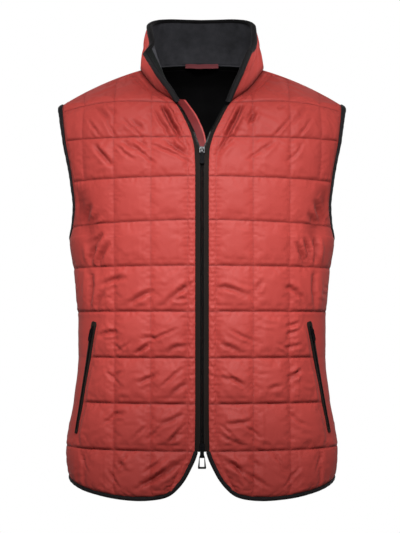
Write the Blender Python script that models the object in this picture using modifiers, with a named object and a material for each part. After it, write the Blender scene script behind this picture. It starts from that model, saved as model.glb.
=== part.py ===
"""Quilted stand-collar vest with a two-way front zip, hollow and open as it stands when worn.

Metres, +Z up.  The origin is at the base of the neck, midway between the two side neck points.
The front faces -Y.  Suffix _r is the wearer's right (x < 0), suffix _l the wearer's left (x > 0).
Every sewn piece is a wall lofted between an outer and an inner skin.  Both skins come from one
reference surface: rows run across a panel from its front edge (or centre back) to its side edge,
and the row number is counted in quilt channels from the hem (0) to the shoulder seam (10).
"""
import math

import bmesh
import bpy
import numpy as np
from mathutils import Matrix, Vector

# ------------------------------------------------------------------ driving dimensions
SEAM_GAP = 0.0003          # air between neighbouring pieces at a seam
WALL = 0.0022              # quilt thickness along a stitched line
PUFF_FRONT = 0.0055        # how far a channel's crown stands above its stitched lines
PUFF_BACK = 0.0050
ARMPIT_ROW = 5.67          # row where the side seam ends at the armhole
SHOULDER_ROW = 10.0
NECK_ROW = 9.0             # row where the front edge ends at the neck seam
BINDING_ARMHOLE_WIDTH = 0.0080
BINDING_HEM_WIDTH = 0.0062
BINDING_HALF_WALL = 0.0019
COLLAR_OUTER_WALL = 0.0034
COLLAR_LINING_WALL = 0.0015
COLLAR_BINDING_WIDTH = 0.0040
COLLAR_FOOT_GAP = 0.0010   # air between the collar's foot and the panels' neck edge
TAPE_WALL = 0.0009
TAPE_UNDER = 0.0060        # tape hidden under the panel edge
COIL_HALF = 0.0030         # half width of the closed coil
COIL_PROUD = 0.0013
ZIP_TOP_Z = -0.1345        # middle of the top slider
ZIP_BOTTOM_Z = -0.5780     # middle of the bottom slider
POCKET_WIDTH_TOP = 0.0095
POCKET_WIDTH_LOW = 0.0060

# ------------------------------------------------------------------ tables
# Front edge of a front panel: row, half-width on the wearer's right and left, depth, height.
FRONT_EDGE = [
    # row    x_r      x_l      y        z
    (0.00, 0.0440, 0.0440, -0.1165, -0.6405),
    (0.33, 0.0325, 0.0325, -0.1175, -0.6295),
    (0.67, 0.0205, 0.0205, -0.1182, -0.6070),
    (1.00, 0.0112, 0.0112, -0.1190, -0.5840),
    (2.00, 0.0102, 0.0102, -0.1205, -0.5137),
    (3.00, 0.0102, 0.0102, -0.1210, -0.4454),
    (4.00, 0.0102, 0.0102, -0.1215, -0.3760),
    (5.00, 0.0102, 0.0102, -0.1220, -0.3076),
    (6.00, 0.0102, 0.0102, -0.1220, -0.2391),
    (7.00, 0.0102, 0.0102, -0.1195, -0.1738),
    (7.60, 0.0112, 0.0112, -0.1130, -0.1370),
    (8.00, 0.0152, 0.0165, -0.1065, -0.1140),
    (8.50, 0.0262, 0.0290, -0.0970, -0.0860),
    (9.00, 0.0410, 0.0435, -0.0845, -0.0600),
    (9.50, 0.0710, 0.0715, -0.0530, -0.0350),
    (10.0, 0.0965, 0.0965, 0.0040, 0.0030),
]
# Side edge of a front panel: side seam up to the armpit, then the armhole, shoulder tip last.
# turn is the angle, in degrees, that the row has turned towards the back there.
FRONT_SIDE = [
    # row    x       y        z       turn
    (0.00, 0.2050, 0.0000, -0.6290, 90.0),
    (1.00, 0.2095, 0.0000, -0.5824, 90.0),
    (2.00, 0.1990, 0.0000, -0.5137, 90.0),
    (3.00, 0.1920, 0.0000, -0.4454, 90.0),
    (4.00, 0.1925, 0.0000, -0.3760, 90.0),
    (5.00, 0.1990, 0.0000, -0.3093, 90.0),
    (5.67, 0.2055, 0.0000, -0.2640, 90.0),
    (5.78, 0.2045, -0.0119, -0.2610, 83.5),
    (5.89, 0.2022, -0.0208, -0.2545, 78.5),
    (6.00, 0.1992, -0.0300, -0.2458, 72.5),
    (6.50, 0.1948, -0.0470, -0.2130, 63.0),
    (7.00, 0.1980, -0.0530, -0.1777, 57.0),
    (8.00, 0.2095, -0.0470, -0.1141, 50.0),
    (9.00, 0.2165, -0.0220, -0.0665, 40.0),
    (9.50, 0.2180, -0.0095, -0.0575, 22.0),
    (10.0, 0.2185, 0.0040, -0.0520, 0.0),
]
# Shape of a front row between its ends: handle lengths, rise between the ends, how early it rises
# (1 = halfway, 0.5 = a quarter of the way from the front edge).
FRONT_ROW = [
    # row   k_in   k_out   arch    early
    (0.00, 0.60, 0.60, -0.0150, 0.5),
    (1.00, 0.60, 0.60, 0.0000, 1.0),
    (5.67, 0.61, 0.60, 0.0000, 1.0),
    (5.78, 0.577, 0.507, 0.0000, 1.0),
    (5.89, 0.558, 0.454, 0.0000, 1.0),
    (6.00, 0.545, 0.410, 0.0000, 1.0),
    (6.50, 0.515, 0.355, 0.0000, 1.0),
    (7.00, 0.49, 0.325, 0.0000, 1.0),
    (8.00, 0.50, 0.36, 0.0000, 1.0),
    (9.00, 0.50, 0.42, 0.0060, 1.0),
    (9.50, 0.45, 0.40, 0.0065, 1.0),
    (10.0, 0.33, 0.33, 0.0050, 1.0),
]
CENTRE_BACK = [
    # row    y       z
    (0.00, 0.1085, -0.5980),
    (1.00, 0.1090, -0.5840),
    (2.00, 0.1055, -0.5137),
    (3.00, 0.1005, -0.4454),
    (4.00, 0.0995, -0.3760),
    (5.00, 0.1060, -0.3076),
    (6.00, 0.1165, -0.2391),
    (7.00, 0.1230, -0.1738),
    (8.00, 0.1215, -0.1141),
    (9.00, 0.1080, -0.0500),
    (10.0, 0.0760, 0.0190),
]
BACK_SIDE = [
    # row    x       y       z       turn
    (0.00, 0.2050, 0.0000, -0.6290, 90.0),
    (1.00, 0.2095, 0.0000, -0.5824, 90.0),
    (2.00, 0.1990, 0.0000, -0.5137, 90.0),
    (3.00, 0.1920, 0.0000, -0.4454, 90.0),
    (4.00, 0.1925, 0.0000, -0.3760, 90.0),
    (5.00, 0.1990, 0.0000, -0.3093, 90.0),
    (5.67, 0.2055, 0.0000, -0.2640, 90.0),
    (5.78, 0.2047, 0.0119, -0.2610, 83.5),
    (5.89, 0.2028, 0.0212, -0.2545, 78.5),
    (6.00, 0.2005, 0.0305, -0.2458, 73.5),
    (6.50, 0.1975, 0.0500, -0.2130, 65.0),
    (7.00, 0.1998, 0.0590, -0.1777, 59.0),
    (8.00, 0.2095, 0.0560, -0.1141, 53.0),
    (9.00, 0.2165, 0.0290, -0.0665, 42.0),
    (9.50, 0.2180, 0.0165, -0.0575, 24.0),
    (10.0, 0.2185, 0.0040, -0.0520, 0.0),
]
BACK_ROW = [
    # row   k_in   k_out   arch    early
    (0.00, 0.60, 0.60, 0.0000, 1.0),
    (5.67, 0.60, 0.60, 0.0000, 1.0),
    (5.78, 0.577, 0.507, 0.0000, 1.0),
    (5.89, 0.558, 0.454, 0.0000, 1.0),
    (6.00, 0.545, 0.410, 0.0000, 1.0),
    (6.50, 0.515, 0.355, 0.0000, 1.0),
    (7.00, 0.49, 0.325, 0.0000, 1.0),
    (8.00, 0.50, 0.36, 0.0000, 1.0),
    (9.00, 0.50, 0.42, 0.0040, 1.0),
    (9.50, 0.45, 0.40, 0.0040, 1.0),
]
# The back's top row: neck seam from centre back to the side neck point, then the shoulder seam.
BACK_TOP = [
    # across  x       y       z
    (0.000, 0.0000, 0.0760, 0.0190),
    (0.180, 0.0420, 0.0690, 0.0172),
    (0.320, 0.0740, 0.0480, 0.0120),
    (0.450, 0.0965, 0.0040, 0.0030),
    (0.725, 0.1580, 0.0040, -0.0198),
    (1.000, 0.2185, 0.0040, -0.0520),
]
# Top edge of the collar from centre back to the front end, on each side.
COLLAR_TOP = [
    # along   x_r      x_l      y_r      y_l      z_r     z_l
    (0.00, 0.0000, 0.0000, 0.0660, 0.0660, 0.0905, 0.0905),
    (0.20, 0.0400, 0.0400, 0.0600, 0.0600, 0.0905, 0.0905),
    (0.38, 0.0700, 0.0690, 0.0420, 0.0420, 0.0865, 0.0862),
    (0.55, 0.0855, 0.0835, 0.0080, 0.0080, 0.0725, 0.0715),
    (0.72, 0.0840, 0.0853, -0.0220, -0.0240, 0.0545, 0.0485),
    (0.86, 0.0805, 0.0835, -0.0440, -0.0475, 0.0345, 0.0290),
    (1.00, 0.0895, 0.0730, -0.0620, -0.0620, 0.0190, 0.0205),
]
# Row spacing inside one quilt channel and columns across a panel.
CHANNEL_STEPS = (0.0, 0.33, 0.67)
EXTRA_ROWS = (5.78, 5.89)
FRONT_COLUMNS = (0.0, 0.06, 0.12, 0.24, 0.36, 0.48, 0.60, 0.71, 0.81, 0.90, 0.96, 1.0)
BACK_COLUMNS = (0.0, 0.09, 0.18, 0.32, 0.45, 0.56, 0.66, 0.75, 0.84, 0.92, 1.0)
# The slanted pocket zips on the front panels: end heights and half-widths of the body there.
POCKET = {"r": dict(top=(0.1620, -0.3915), low=(0.1905, -0.5620)),
          "l": dict(top=(0.1610, -0.3915), low=(0.1930, -0.5610))}

COLOURS = {
    "red_shell": ((0.50, 0.075, 0.065), 0.50, 0.0),
    "red_flap": ((0.45, 0.07, 0.065), 0.55, 0.0),
    "black_binding": ((0.018, 0.018, 0.02), 0.75, 0.0),
    "black_lining": ((0.022, 0.022, 0.025), 0.80, 0.0),
    "charcoal_knit": ((0.035, 0.035, 0.04), 0.90, 0.0),
    "loop_cloth": ((0.25, 0.05, 0.055), 0.70, 0.0),
    "zip_tape": ((0.03, 0.03, 0.028), 0.80, 0.0),
    "dark_metal": ((0.06, 0.06, 0.065), 0.35, 0.9),
}

# ------------------------------------------------------------------ scene
for old in list(bpy.data.objects):
    bpy.data.objects.remove(old, do_unlink=True)


def collection(name):
    c = bpy.data.collections.get(name) or bpy.data.collections.new(name)
    if c.name not in {k.name for k in bpy.context.scene.collection.children}:
        bpy.context.scene.collection.children.link(c)
    return c


PARTS = collection("quilted_vest")
CUTTERS = collection("cutters")


def material(name):
    m = bpy.data.materials.get(name)
    if m is None:
        colour, rough, metal = COLOURS[name]
        m = bpy.data.materials.new(name)
        m.use_nodes = True
        b = m.node_tree.nodes["Principled BSDF"]
        b.inputs["Base Color"].default_value = (*colour, 1.0)
        b.inputs["Roughness"].default_value = rough
        b.inputs["Metallic"].default_value = metal
        m.diffuse_color = (*colour, 1.0)
    return m


def to_object(name, bm, mat, smooth=True, origin=None, where=None):
    """A mesh object from a bmesh, its origin at the given point."""
    bmesh.ops.recalc_face_normals(bm, faces=bm.faces)
    if origin is not None:
        bmesh.ops.translate(bm, verts=bm.verts, vec=-Vector(origin))
    me = bpy.data.meshes.new(name)
    bm.to_mesh(me)
    bm.free()
    ob = bpy.data.objects.new(name, me)
    (where or PARTS).objects.link(ob)
    if origin is not None:
        ob.location = origin
    me.materials.append(material(mat))
    if smooth:
        me.shade_smooth()
        me.set_sharp_from_angle(angle=math.radians(40))
    return ob


# ------------------------------------------------------------------ curves and surfaces
def column(table, key, index):
    """Smooth reading of one column of a table at a row number, without overshoot (PCHIP)."""
    xs = np.array([row[0] for row in table], float)
    ys = np.array([row[index] for row in table], float)
    h = np.diff(xs)
    d = np.diff(ys) / h
    m = np.zeros(len(xs))
    for i in range(1, len(xs) - 1):
        if d[i - 1] * d[i] > 0:
            w1, w2 = 2 * h[i] + h[i - 1], h[i] + 2 * h[i - 1]
            m[i] = (w1 + w2) / (w1 / d[i - 1] + w2 / d[i])
    m[0], m[-1] = d[0], d[-1]
    k = float(np.clip(key, xs[0], xs[-1]))
    i = int(np.clip(np.searchsorted(xs, k) - 1, 0, len(h) - 1))
    t = (k - xs[i]) / h[i]
    return float((2 * t**3 - 3 * t**2 + 1) * ys[i] + (t**3 - 2 * t**2 + t) * h[i] * m[i]
                 + (-2 * t**3 + 3 * t**2) * ys[i + 1] + (t**3 - t**2) * h[i] * m[i + 1])


def bezier(p0, p1, a0, a1, k0, k1, u):
    """Row from p0 to p1 in plan, leaving at angle a0 and arriving at angle a1."""
    dx, dy = p1[0] - p0[0], abs(p1[1] - p0[1])
    h0 = k0 * dx
    h1 = k1 * (abs(dy * math.sin(a1)) + abs(dx * math.cos(a1)))
    c0 = p0[:2] + h0 * np.array([math.cos(a0), math.sin(a0)])
    c1 = p1[:2] - h1 * np.array([math.cos(a1), math.sin(a1)])
    v = 1.0 - u
    return v**3 * p0[:2] + 3 * v * v * u * c0 + 3 * v * u * u * c1 + u**3 * p1[:2]


def front_point(u, row, side):
    """Reference surface of a front panel; side is -1 for _r and +1 for _l."""
    xi = 1 if side < 0 else 2
    p0 = np.array([column(FRONT_EDGE, row, xi), column(FRONT_EDGE, row, 3), column(FRONT_EDGE, row, 4)])
    p1 = np.array([column(FRONT_SIDE, row, i) for i in (1, 2, 3)])
    p1[1] -= SEAM_GAP / 2 * (row <= ARMPIT_ROW + 0.01)
    if row >= SHOULDER_ROW - 1e-9:
        p0[1] = p1[1] = p0[1] - SEAM_GAP / 2
    turn = math.radians(column(FRONT_SIDE, row, 4))
    k0, k1, arch, early = (column(FRONT_ROW, row, i) for i in (1, 2, 3, 4))
    xy = bezier(p0, p1, 0.0, turn, k0, k1, u)
    s = min(max(u, 0.0), 1.0)
    crown = (early / 2) ** early * (1 - early / 2) ** (2 - early)
    z = p0[2] + (p1[2] - p0[2]) * u + arch * s ** early * (1 - s) ** (2 - early) / crown
    return np.array([side * xy[0], xy[1], z])


def back_point(u, row):
    """Reference surface of the back; u runs from -1 at one side edge to +1 at the other."""
    s, a = (-1.0 if u < 0 else 1.0), abs(u)
    p0 = np.array([0.0, column(CENTRE_BACK, row, 1), column(CENTRE_BACK, row, 2)])
    p1 = np.array([column(BACK_SIDE, row, i) for i in (1, 2, 3)])
    p1[1] += SEAM_GAP / 2 * (row <= ARMPIT_ROW + 0.01)
    turn = math.radians(column(BACK_SIDE, row, 4))
    k0, k1, arch, early = (column(BACK_ROW, row, i) for i in (1, 2, 3, 4))
    xy = bezier(p0, p1, 0.0, -turn, k0, k1, a)
    z = p0[2] + (p1[2] - p0[2]) * a * a * (3 - 2 * a) + arch * 4 * a * (1 - a)
    p = np.array([xy[0], xy[1], z])
    if row > NECK_ROW:  # the last channel closes on the neck seam and the shoulder seam
        top = np.array([column(BACK_TOP, a, i) for i in (1, 2, 3)])
        top[1] += SEAM_GAP / 2
        t = row - NECK_ROW
        base = back_row_nine(a)
        p = hermite_up(base, top, t)
    return np.array([s * p[0], p[1], p[2]])


def back_row_nine(a):
    p0 = np.array([0.0, column(CENTRE_BACK, NECK_ROW, 1), column(CENTRE_BACK, NECK_ROW, 2)])
    p1 = np.array([column(BACK_SIDE, NECK_ROW, i) for i in (1, 2, 3)])
    turn = math.radians(column(BACK_SIDE, NECK_ROW, 4))
    xy = bezier(p0, p1, 0.0, -turn, 0.50, 0.42, a)
    z = p0[2] + (p1[2] - p0[2]) * a * a * (3 - 2 * a) + 0.0040 * 4 * a * (1 - a)
    return np.array([xy[0], xy[1], z])


def hermite_up(base, top, t):
    """From row nine to the top row, leaving steeply and arriving flatter, as a shoulder rounds."""
    d = top - base
    m0 = np.array([d[0], d[1] * 0.55, d[2] * 1.5])
    m1 = np.array([d[0], d[1] * 1.35, d[2] * 0.60])
    return ((2 * t**3 - 3 * t**2 + 1) * base + (t**3 - 2 * t**2 + t) * m0
            + (-2 * t**3 + 3 * t**2) * top + (t**3 - t**2) * m1)


def pocket_free(x, z, side):
    """1 on the quilted cloth, 0 on the plain strip from the pocket zip to the side seam."""
    k = POCKET["r" if side < 0 else "l"]
    (x0, z0), (x1, z1) = k["top"], k["low"]
    t = np.clip((z0 - z) / (z0 - z1), 0.0, 1.0)
    line = x0 + (x1 - x0) * t - 0.014
    across = np.clip((line - abs(x)) / 0.012, 0.0, 1.0)
    over = np.clip((z - z0 - 0.004) / 0.014, 0.0, 1.0) + np.clip((z1 - 0.006 - z) / 0.014, 0.0, 1.0)
    return float(max(across, min(over, 1.0)))


def puff(row):
    """Height of the quilt above its stitched lines, 0 on a line and 1 on a crown."""
    f = row - math.floor(row + 1e-6)
    f = min(max(f, 0.0), 1.0)
    return (4 * f * (1 - f)) ** 0.7


def rows_for():
    rows = sorted({round(k + s, 2) for k in range(10) for s in CHANNEL_STEPS} | set(EXTRA_ROWS) | {10.0})
    return rows


def normal_at(point, u, row, umin, umax, out):
    """Unit normal by finite differences that stay inside the panel."""
    e = 1e-3
    ua, ub = max(umin, u - e), min(umax, u + e)
    ra, rb = max(0.0, row - e), min(SHOULDER_ROW, row + e)
    du = point(ub, row) - point(ua, row)
    dr = point(u, rb) - point(u, ra)
    n = np.cross(du, dr)
    n /= np.linalg.norm(n)
    if np.dot(n, out) < 0:
        n = -n
    return n


def seam_normal(n, at_side, at_shoulder):
    """Keeps a seam's cut face in the seam's own plane."""
    if at_side or at_shoulder:
        n = np.array([n[0], 0.0, n[2]])
        n /= np.linalg.norm(n)
    return n


class Panel:
    """Reference points, normals and offsets of one quilted panel."""

    def __init__(self, kind, side=0):
        self.kind, self.side = kind, side
        self.rows = rows_for()
        if kind == "front":
            self.cols = list(FRONT_COLUMNS)
            self.point = lambda u, r: front_point(u, r, side)
            self.umin, self.umax = 0.0, 1.0
        else:
            self.cols = [-c for c in reversed(BACK_COLUMNS[1:])] + list(BACK_COLUMNS)
            self.point = back_point
            self.umin, self.umax = -1.0, 1.0
        self.height = PUFF_FRONT if kind == "front" else PUFF_BACK
        self.P = np.array([[self.point(u, r) for u in self.cols] for r in self.rows])
        self.N = np.array([[self.normal(u, r) for u in self.cols] for r in self.rows])
        self.T = np.array([[self.lift(u, r) for u in self.cols] for r in self.rows])

    def normal(self, u, r):
        p = self.point(u, r)
        out = np.array([p[0], p[1] + (0.0 if self.kind == "back" else -0.02), 0.04 + 0.6 * max(0.0, r - 8.5)])
        if self.kind == "back" and r > 9.9:
            out = np.array([0.2 * p[0], 0.05, 1.0])
        if self.kind == "front" and r > 9.9:
            out = np.array([0.2 * p[0], -0.05, 1.0])
        n = normal_at(self.point, u, r, self.umin, self.umax, out)
        at_side = abs(abs(u) - 1.0) < 1e-9 and r <= ARMPIT_ROW + 0.005
        shoulder = r >= SHOULDER_ROW - 1e-9 and (self.kind == "front" or abs(u) >= 0.45 - 1e-9)
        return seam_normal(n, at_side, shoulder)

    def lift(self, u, r):
        """Height of the outer skin above the reference surface."""
        p = self.point(u, r)
        h = puff(r)
        if self.kind == "front":
            h *= pocket_free(p[0], p[2], self.side)
            h *= min(1.0, 0.15 + u / 0.10)
        edge = 1.0 - abs(u) if self.kind == "back" or u > 0.5 else 1.0
        h *= min(1.0, 0.25 + edge / 0.06)
        return 0.0004 + self.height * h

    def outer(self, extra=0.0):
        return self.P + self.N * (self.T + extra)[..., None]

    def inner(self, extra=0.0):
        return self.P - self.N * (WALL + extra)


def wall(name, outer, inner, mat, closed=False):
    """A closed wall between two skins that share one grid (rows by columns by 3)."""
    rows, cols = outer.shape[:2]
    bm = bmesh.new()
    vo = [[bm.verts.new(outer[i][j]) for j in range(cols)] for i in range(rows)]
    vi = [[bm.verts.new(inner[i][j]) for j in range(cols)] for i in range(rows)]
    last = cols if closed else cols - 1
    for i in range(rows - 1):
        for j in range(last):
            k = (j + 1) % cols
            bm.faces.new((vo[i][j], vo[i][k], vo[i + 1][k]))
            bm.faces.new((vo[i][j], vo[i + 1][k], vo[i + 1][j]))
            bm.faces.new((vi[i][j], vi[i + 1][k], vi[i][k]))
            bm.faces.new((vi[i][j], vi[i + 1][j], vi[i + 1][k]))
    for j in range(last):
        k = (j + 1) % cols
        bm.faces.new((vo[0][k], vo[0][j], vi[0][j]))
        bm.faces.new((vo[0][k], vi[0][j], vi[0][k]))
        bm.faces.new((vo[-1][j], vo[-1][k], vi[-1][j]))
        bm.faces.new((vo[-1][k], vi[-1][k], vi[-1][j]))
    if not closed:
        for i in range(rows - 1):
            bm.faces.new((vo[i][0], vo[i + 1][0], vi[i + 1][0]))
            bm.faces.new((vo[i][0], vi[i + 1][0], vi[i][0]))
            bm.faces.new((vo[i + 1][-1], vo[i][-1], vi[i + 1][-1]))
            bm.faces.new((vo[i][-1], vi[i][-1], vi[i + 1][-1]))
    return to_object(name, bm, mat)


def strip(name, rings, mat, closed=False):
    """A strip swept through rings of equal length; its ends are capped unless it closes on itself."""
    n = len(rings[0])
    bm = bmesh.new()
    vs = [[bm.verts.new(p) for p in ring] for ring in rings]
    count = len(vs)
    for i in range(count if closed else count - 1):
        a, b = vs[i], vs[(i + 1) % count]
        for j in range(n):
            k = (j + 1) % n
            bm.faces.new((a[j], a[k], b[k]))
            bm.faces.new((a[j], b[k], b[j]))
    if not closed:
        bm.faces.new(list(reversed(vs[0])))
        bm.faces.new(vs[-1])
    return to_object(name, bm, mat)


def unit(v):
    return v / np.linalg.norm(v)


def edge_strip(name, points, normals, away, start, width, above, below, mat, closed=False):
    """Binding along an edge: points on the edge, surface normals, and a direction away from the panel."""
    rings = []
    count = len(points)
    for i in range(count):
        if closed:
            t = points[(i + 1) % count] - points[i - 1]
        else:
            t = points[min(i + 1, count - 1)] - points[max(i - 1, 0)]
        t = unit(t)
        n = unit(normals[i] - t * np.dot(normals[i], t))
        a = np.cross(t, n)
        if np.dot(a, away[i]) < 0:
            a = -a
        s0 = points[i] + a * start
        s1 = points[i] + a * (start + width)
        m = normals[i]
        rings.append([s0 + m * above[i], s1 + n * above[i] * 0.6, s1 - n * below * 0.8, s0 - m * below])
    return strip(name, rings, mat, closed)


# ------------------------------------------------------------------ panels
front_r = Panel("front", -1)
front_l = Panel("front", 1)
back = Panel("back")


wall("front_r", front_r.outer(), front_r.inner(), "red_shell")
wall("front_l", front_l.outer(), front_l.inner(), "red_shell")
wall("back", back.outer(), back.inner(), "red_shell")

ROWS = front_r.rows
ARMPIT = ROWS.index(ARMPIT_ROW)
NECK = ROWS.index(NECK_ROW)

# ------------------------------------------------------------------ armhole bindings
for side, tag, panel in ((-1, "r", front_r), (1, "l", front_l)):
    bcol = 0 if side < 0 else -1
    pts, nrm, away = [], [], []
    for i in range(ARMPIT + 1, len(ROWS)):            # up the front
        pts.append(panel.P[i][-1])
        nrm.append(panel.N[i][-1])
        away.append(panel.P[i][-1] - panel.P[i][-2])
    for i in range(len(ROWS) - 2, ARMPIT, -1):        # down the back
        pts.append(back.P[i][bcol])
        nrm.append(back.N[i][bcol])
        away.append(back.P[i][bcol] - back.P[i][1 if side < 0 else -2])
    pts.append((panel.P[ARMPIT][-1] + back.P[ARMPIT][bcol]) / 2)
    nrm.append(panel.N[ARMPIT][-1])
    away.append(np.array([0.0, 0.0, 1.0]))
    edge_strip(f"armhole_binding_{tag}", pts, nrm, away, SEAM_GAP * 2.4, BINDING_ARMHOLE_WIDTH,
               [BINDING_HALF_WALL] * len(pts), WALL + 0.0006, "black_binding", closed=True)

# ------------------------------------------------------------------ hem binding
pts, nrm, away = [], [], []
first_corner = ROWS.index(1.0)
for i in range(first_corner, 0, -1):                  # down the rounded right front corner
    pts.append(front_r.P[i][0]); nrm.append(front_r.N[i][0])
    away.append(np.array([1.0, 0.0, -0.4]))
for j in range(len(front_r.cols)):
    pts.append(front_r.P[0][j]); nrm.append(front_r.N[0][j])
    away.append(np.array([0.3 if j == 0 else 0.0, 0.0, -1.0]))
for j in range(1, len(back.cols) - 1):
    pts.append(back.P[0][j]); nrm.append(back.N[0][j]); away.append(np.array([0.0, 0.0, -1.0]))
for j in range(len(front_l.cols) - 1, -1, -1):
    pts.append(front_l.P[0][j]); nrm.append(front_l.N[0][j])
    away.append(np.array([-0.3 if j == 0 else 0.0, 0.0, -1.0]))
for i in range(1, first_corner + 1):
    pts.append(front_l.P[i][0]); nrm.append(front_l.N[i][0])
    away.append(np.array([-1.0, 0.0, -0.4]))
edge_strip("hem_binding", pts, nrm, away, SEAM_GAP * 1.3, BINDING_HEM_WIDTH,
           [BINDING_HALF_WALL] * len(pts), WALL + 0.0006, "black_binding")

# ------------------------------------------------------------------ collar
# Neck seam points: up one front from its front edge to the side neck point, round the back, down the other.
SIDE_NECK_COL = back.cols.index(0.45)
SIDE_NECK_COL_R = back.cols.index(-0.45)


def neck_seam():
    """(edge point, panel normal, direction into the neck, place along the half collar, side)."""
    out = []
    top = len(ROWS) - 1
    for i in range(NECK, top):
        f = (i - NECK) / (top - NECK)
        out.append((front_r.P[i][0], front_r.N[i][0], front_r.P[i][0] - front_r.P[i][1], 1.0 - 0.45 * f, -1))
    for j in range(SIDE_NECK_COL_R, SIDE_NECK_COL + 1):
        a = abs(back.cols[j])
        s = -1 if back.cols[j] < 0 else 1
        p, q = back.P[top][j], back.P[top - 1][j]
        n = back.N[top][j]
        if abs(a - 0.45) < 1e-6:
            p = p.copy(); p[1] -= SEAM_GAP / 2
            d = np.array([-s, 0.0, 0.3])
        else:
            d = p - q
        out.append((p, n, d, 0.55 * a / 0.45, s))
    for i in range(top - 1, NECK - 1, -1):
        f = (i - NECK) / (top - NECK)
        out.append((front_l.P[i][0], front_l.N[i][0], front_l.P[i][0] - front_l.P[i][1], 1.0 - 0.45 * f, 1))
    return out


SEAM = neck_seam()
base_pts = [s[0] for s in SEAM]
collar_rows = 6


def collar_grids():
    """Outer face of the outer collar, and the direction through the collar's wall, at every point."""
    face, inward = [], []
    count = len(SEAM)
    for k in range(count):
        p, n, d, along, s = SEAM[k]
        t = unit(base_pts[min(k + 1, count - 1)] - base_pts[max(k - 1, 0)])
        n = unit(n - t * np.dot(n, t))
        h = np.cross(t, n)
        if np.dot(h, d) < 0:
            h = -h
        x = column(COLLAR_TOP, along, 1 if s < 0 else 2) * s
        y = column(COLLAR_TOP, along, 3 if s < 0 else 4)
        z = column(COLLAR_TOP, along, 5 if s < 0 else 6)
        top = np.array([x, y, z])
        foot = p + h * COLLAR_FOOT_GAP - n * WALL
        sole = p + h * COLLAR_FOOT_GAP + n * 0.0022
        col = [foot, sole]
        up = unit(n + 0.35 * unit(top - sole))
        length = np.linalg.norm(top - sole)
        for r in range(1, collar_rows - 1):
            q = r / (collar_rows - 2)
            a = sole + (top - sole) * q
            b = sole + up * length * q
            w = (1 - q) ** 2 * 0.55
            col.append(a * (1 - w) + b * w)
        face.append(col)
    face = np.array(face).transpose(1, 0, 2)
    rows, cols = face.shape[:2]
    inward = np.zeros_like(face)
    for i in range(rows):
        for k in range(cols):
            t = face[i][min(k + 1, cols - 1)] - face[i][max(k - 1, 0)]
            u = face[min(i + 1, rows - 1)][k] - face[max(i - 1, 0)][k]
            n = unit(np.cross(t, u))
            centre = np.array([0.0, -0.005, face[i][k][2]])
            if np.dot(n, centre - face[i][k]) < 0:
                n = -n
            inward[i][k] = n
    for _ in range(6):
        calm = inward.copy()
        calm[:, 1:-1] = (inward[:, :-2] + 2 * inward[:, 1:-1] + inward[:, 2:]) / 4
        calm[:, 0] = (inward[:, 0] + inward[:, 1]) / 2
        calm[:, -1] = (inward[:, -1] + inward[:, -2]) / 2
        inward = calm / np.linalg.norm(calm, axis=2, keepdims=True)
    return face, inward


FACE, INWARD = collar_grids()
wall("collar_outer", FACE, FACE + INWARD * COLLAR_OUTER_WALL, "red_shell")
lining_out = FACE + INWARD * (COLLAR_OUTER_WALL + SEAM_GAP)
lining_in = lining_out + INWARD * COLLAR_LINING_WALL
wall("collar_lining", lining_out, lining_in, "charcoal_knit")

# Binding up one front end, along the top edge and down the other end.
mid = COLLAR_OUTER_WALL + SEAM_GAP + COLLAR_LINING_WALL
path = [(i, 0) for i in range(1, FACE.shape[0])] + [(FACE.shape[0] - 1, k) for k in range(1, FACE.shape[1] - 1)] \
    + [(i, FACE.shape[1] - 1) for i in range(FACE.shape[0] - 1, 0, -1)]
rings = []
last_i, last_k = FACE.shape[0] - 1, FACE.shape[1] - 1


def off_edge(tangent, n, towards):
    """Unit direction in the cloth, square to an edge and pointing off it."""
    a = unit(np.cross(tangent, n))
    return a if np.dot(a, towards) > 0 else -a


for i, k in path:
    p, n = FACE[i][k], INWARD[i][k]
    ways = []
    if k in (0, last_k):
        inner_k = 1 if k == 0 else last_k - 1
        t = FACE[min(i + 1, last_i)][k] - FACE[i - 1][k]
        ways.append(off_edge(t, n, p - FACE[i][inner_k]))
    if i == last_i:
        t = FACE[i][min(k + 1, last_k)] - FACE[i][max(k - 1, 0)]
        ways.append(off_edge(t, n, p - FACE[i - 1][k]))
    a = ways[0] if len(ways) == 1 else (ways[0] + ways[1]) / (1.0 + np.dot(ways[0], ways[1]))
    g = SEAM_GAP * 2.4
    s0, s1 = p + a * g, p + a * (g + COLLAR_BINDING_WIDTH)
    rings.append([s0 - n * 0.0006, s1 - n * 0.0001, s1 + n * (mid - 0.0003), s0 + n * (mid + 0.0004)])
strip("collar_binding", rings, "black_binding")

# ------------------------------------------------------------------ inside the neck
top = len(ROWS) - 1
rows_in = [i for i, r in enumerate(ROWS) if r >= 7.67 - 1e-6]
cols_in = [j for j, c in enumerate(back.cols) if abs(c) <= 0.45 + 1e-6]
LINING_GAP = 0.0017
hide = back.P - back.N * (WALL + LINING_GAP)
gridp = np.array([[hide[i][j] for j in cols_in] for i in rows_in])
gridn = np.array([[back.N[i][j] for j in cols_in] for i in rows_in])


def below_seam(grid, normals, last_shift):
    """Stops the lining short of the collar's foot and of the shoulder seams."""
    g = grid.copy()
    g[-1] = g[-2] + (g[-1] - g[-2]) * last_shift
    return g


gridp = below_seam(gridp, gridn, 0.96)
wall("back_lining", gridp, gridp - gridn * 0.0012, "black_lining")

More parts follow.
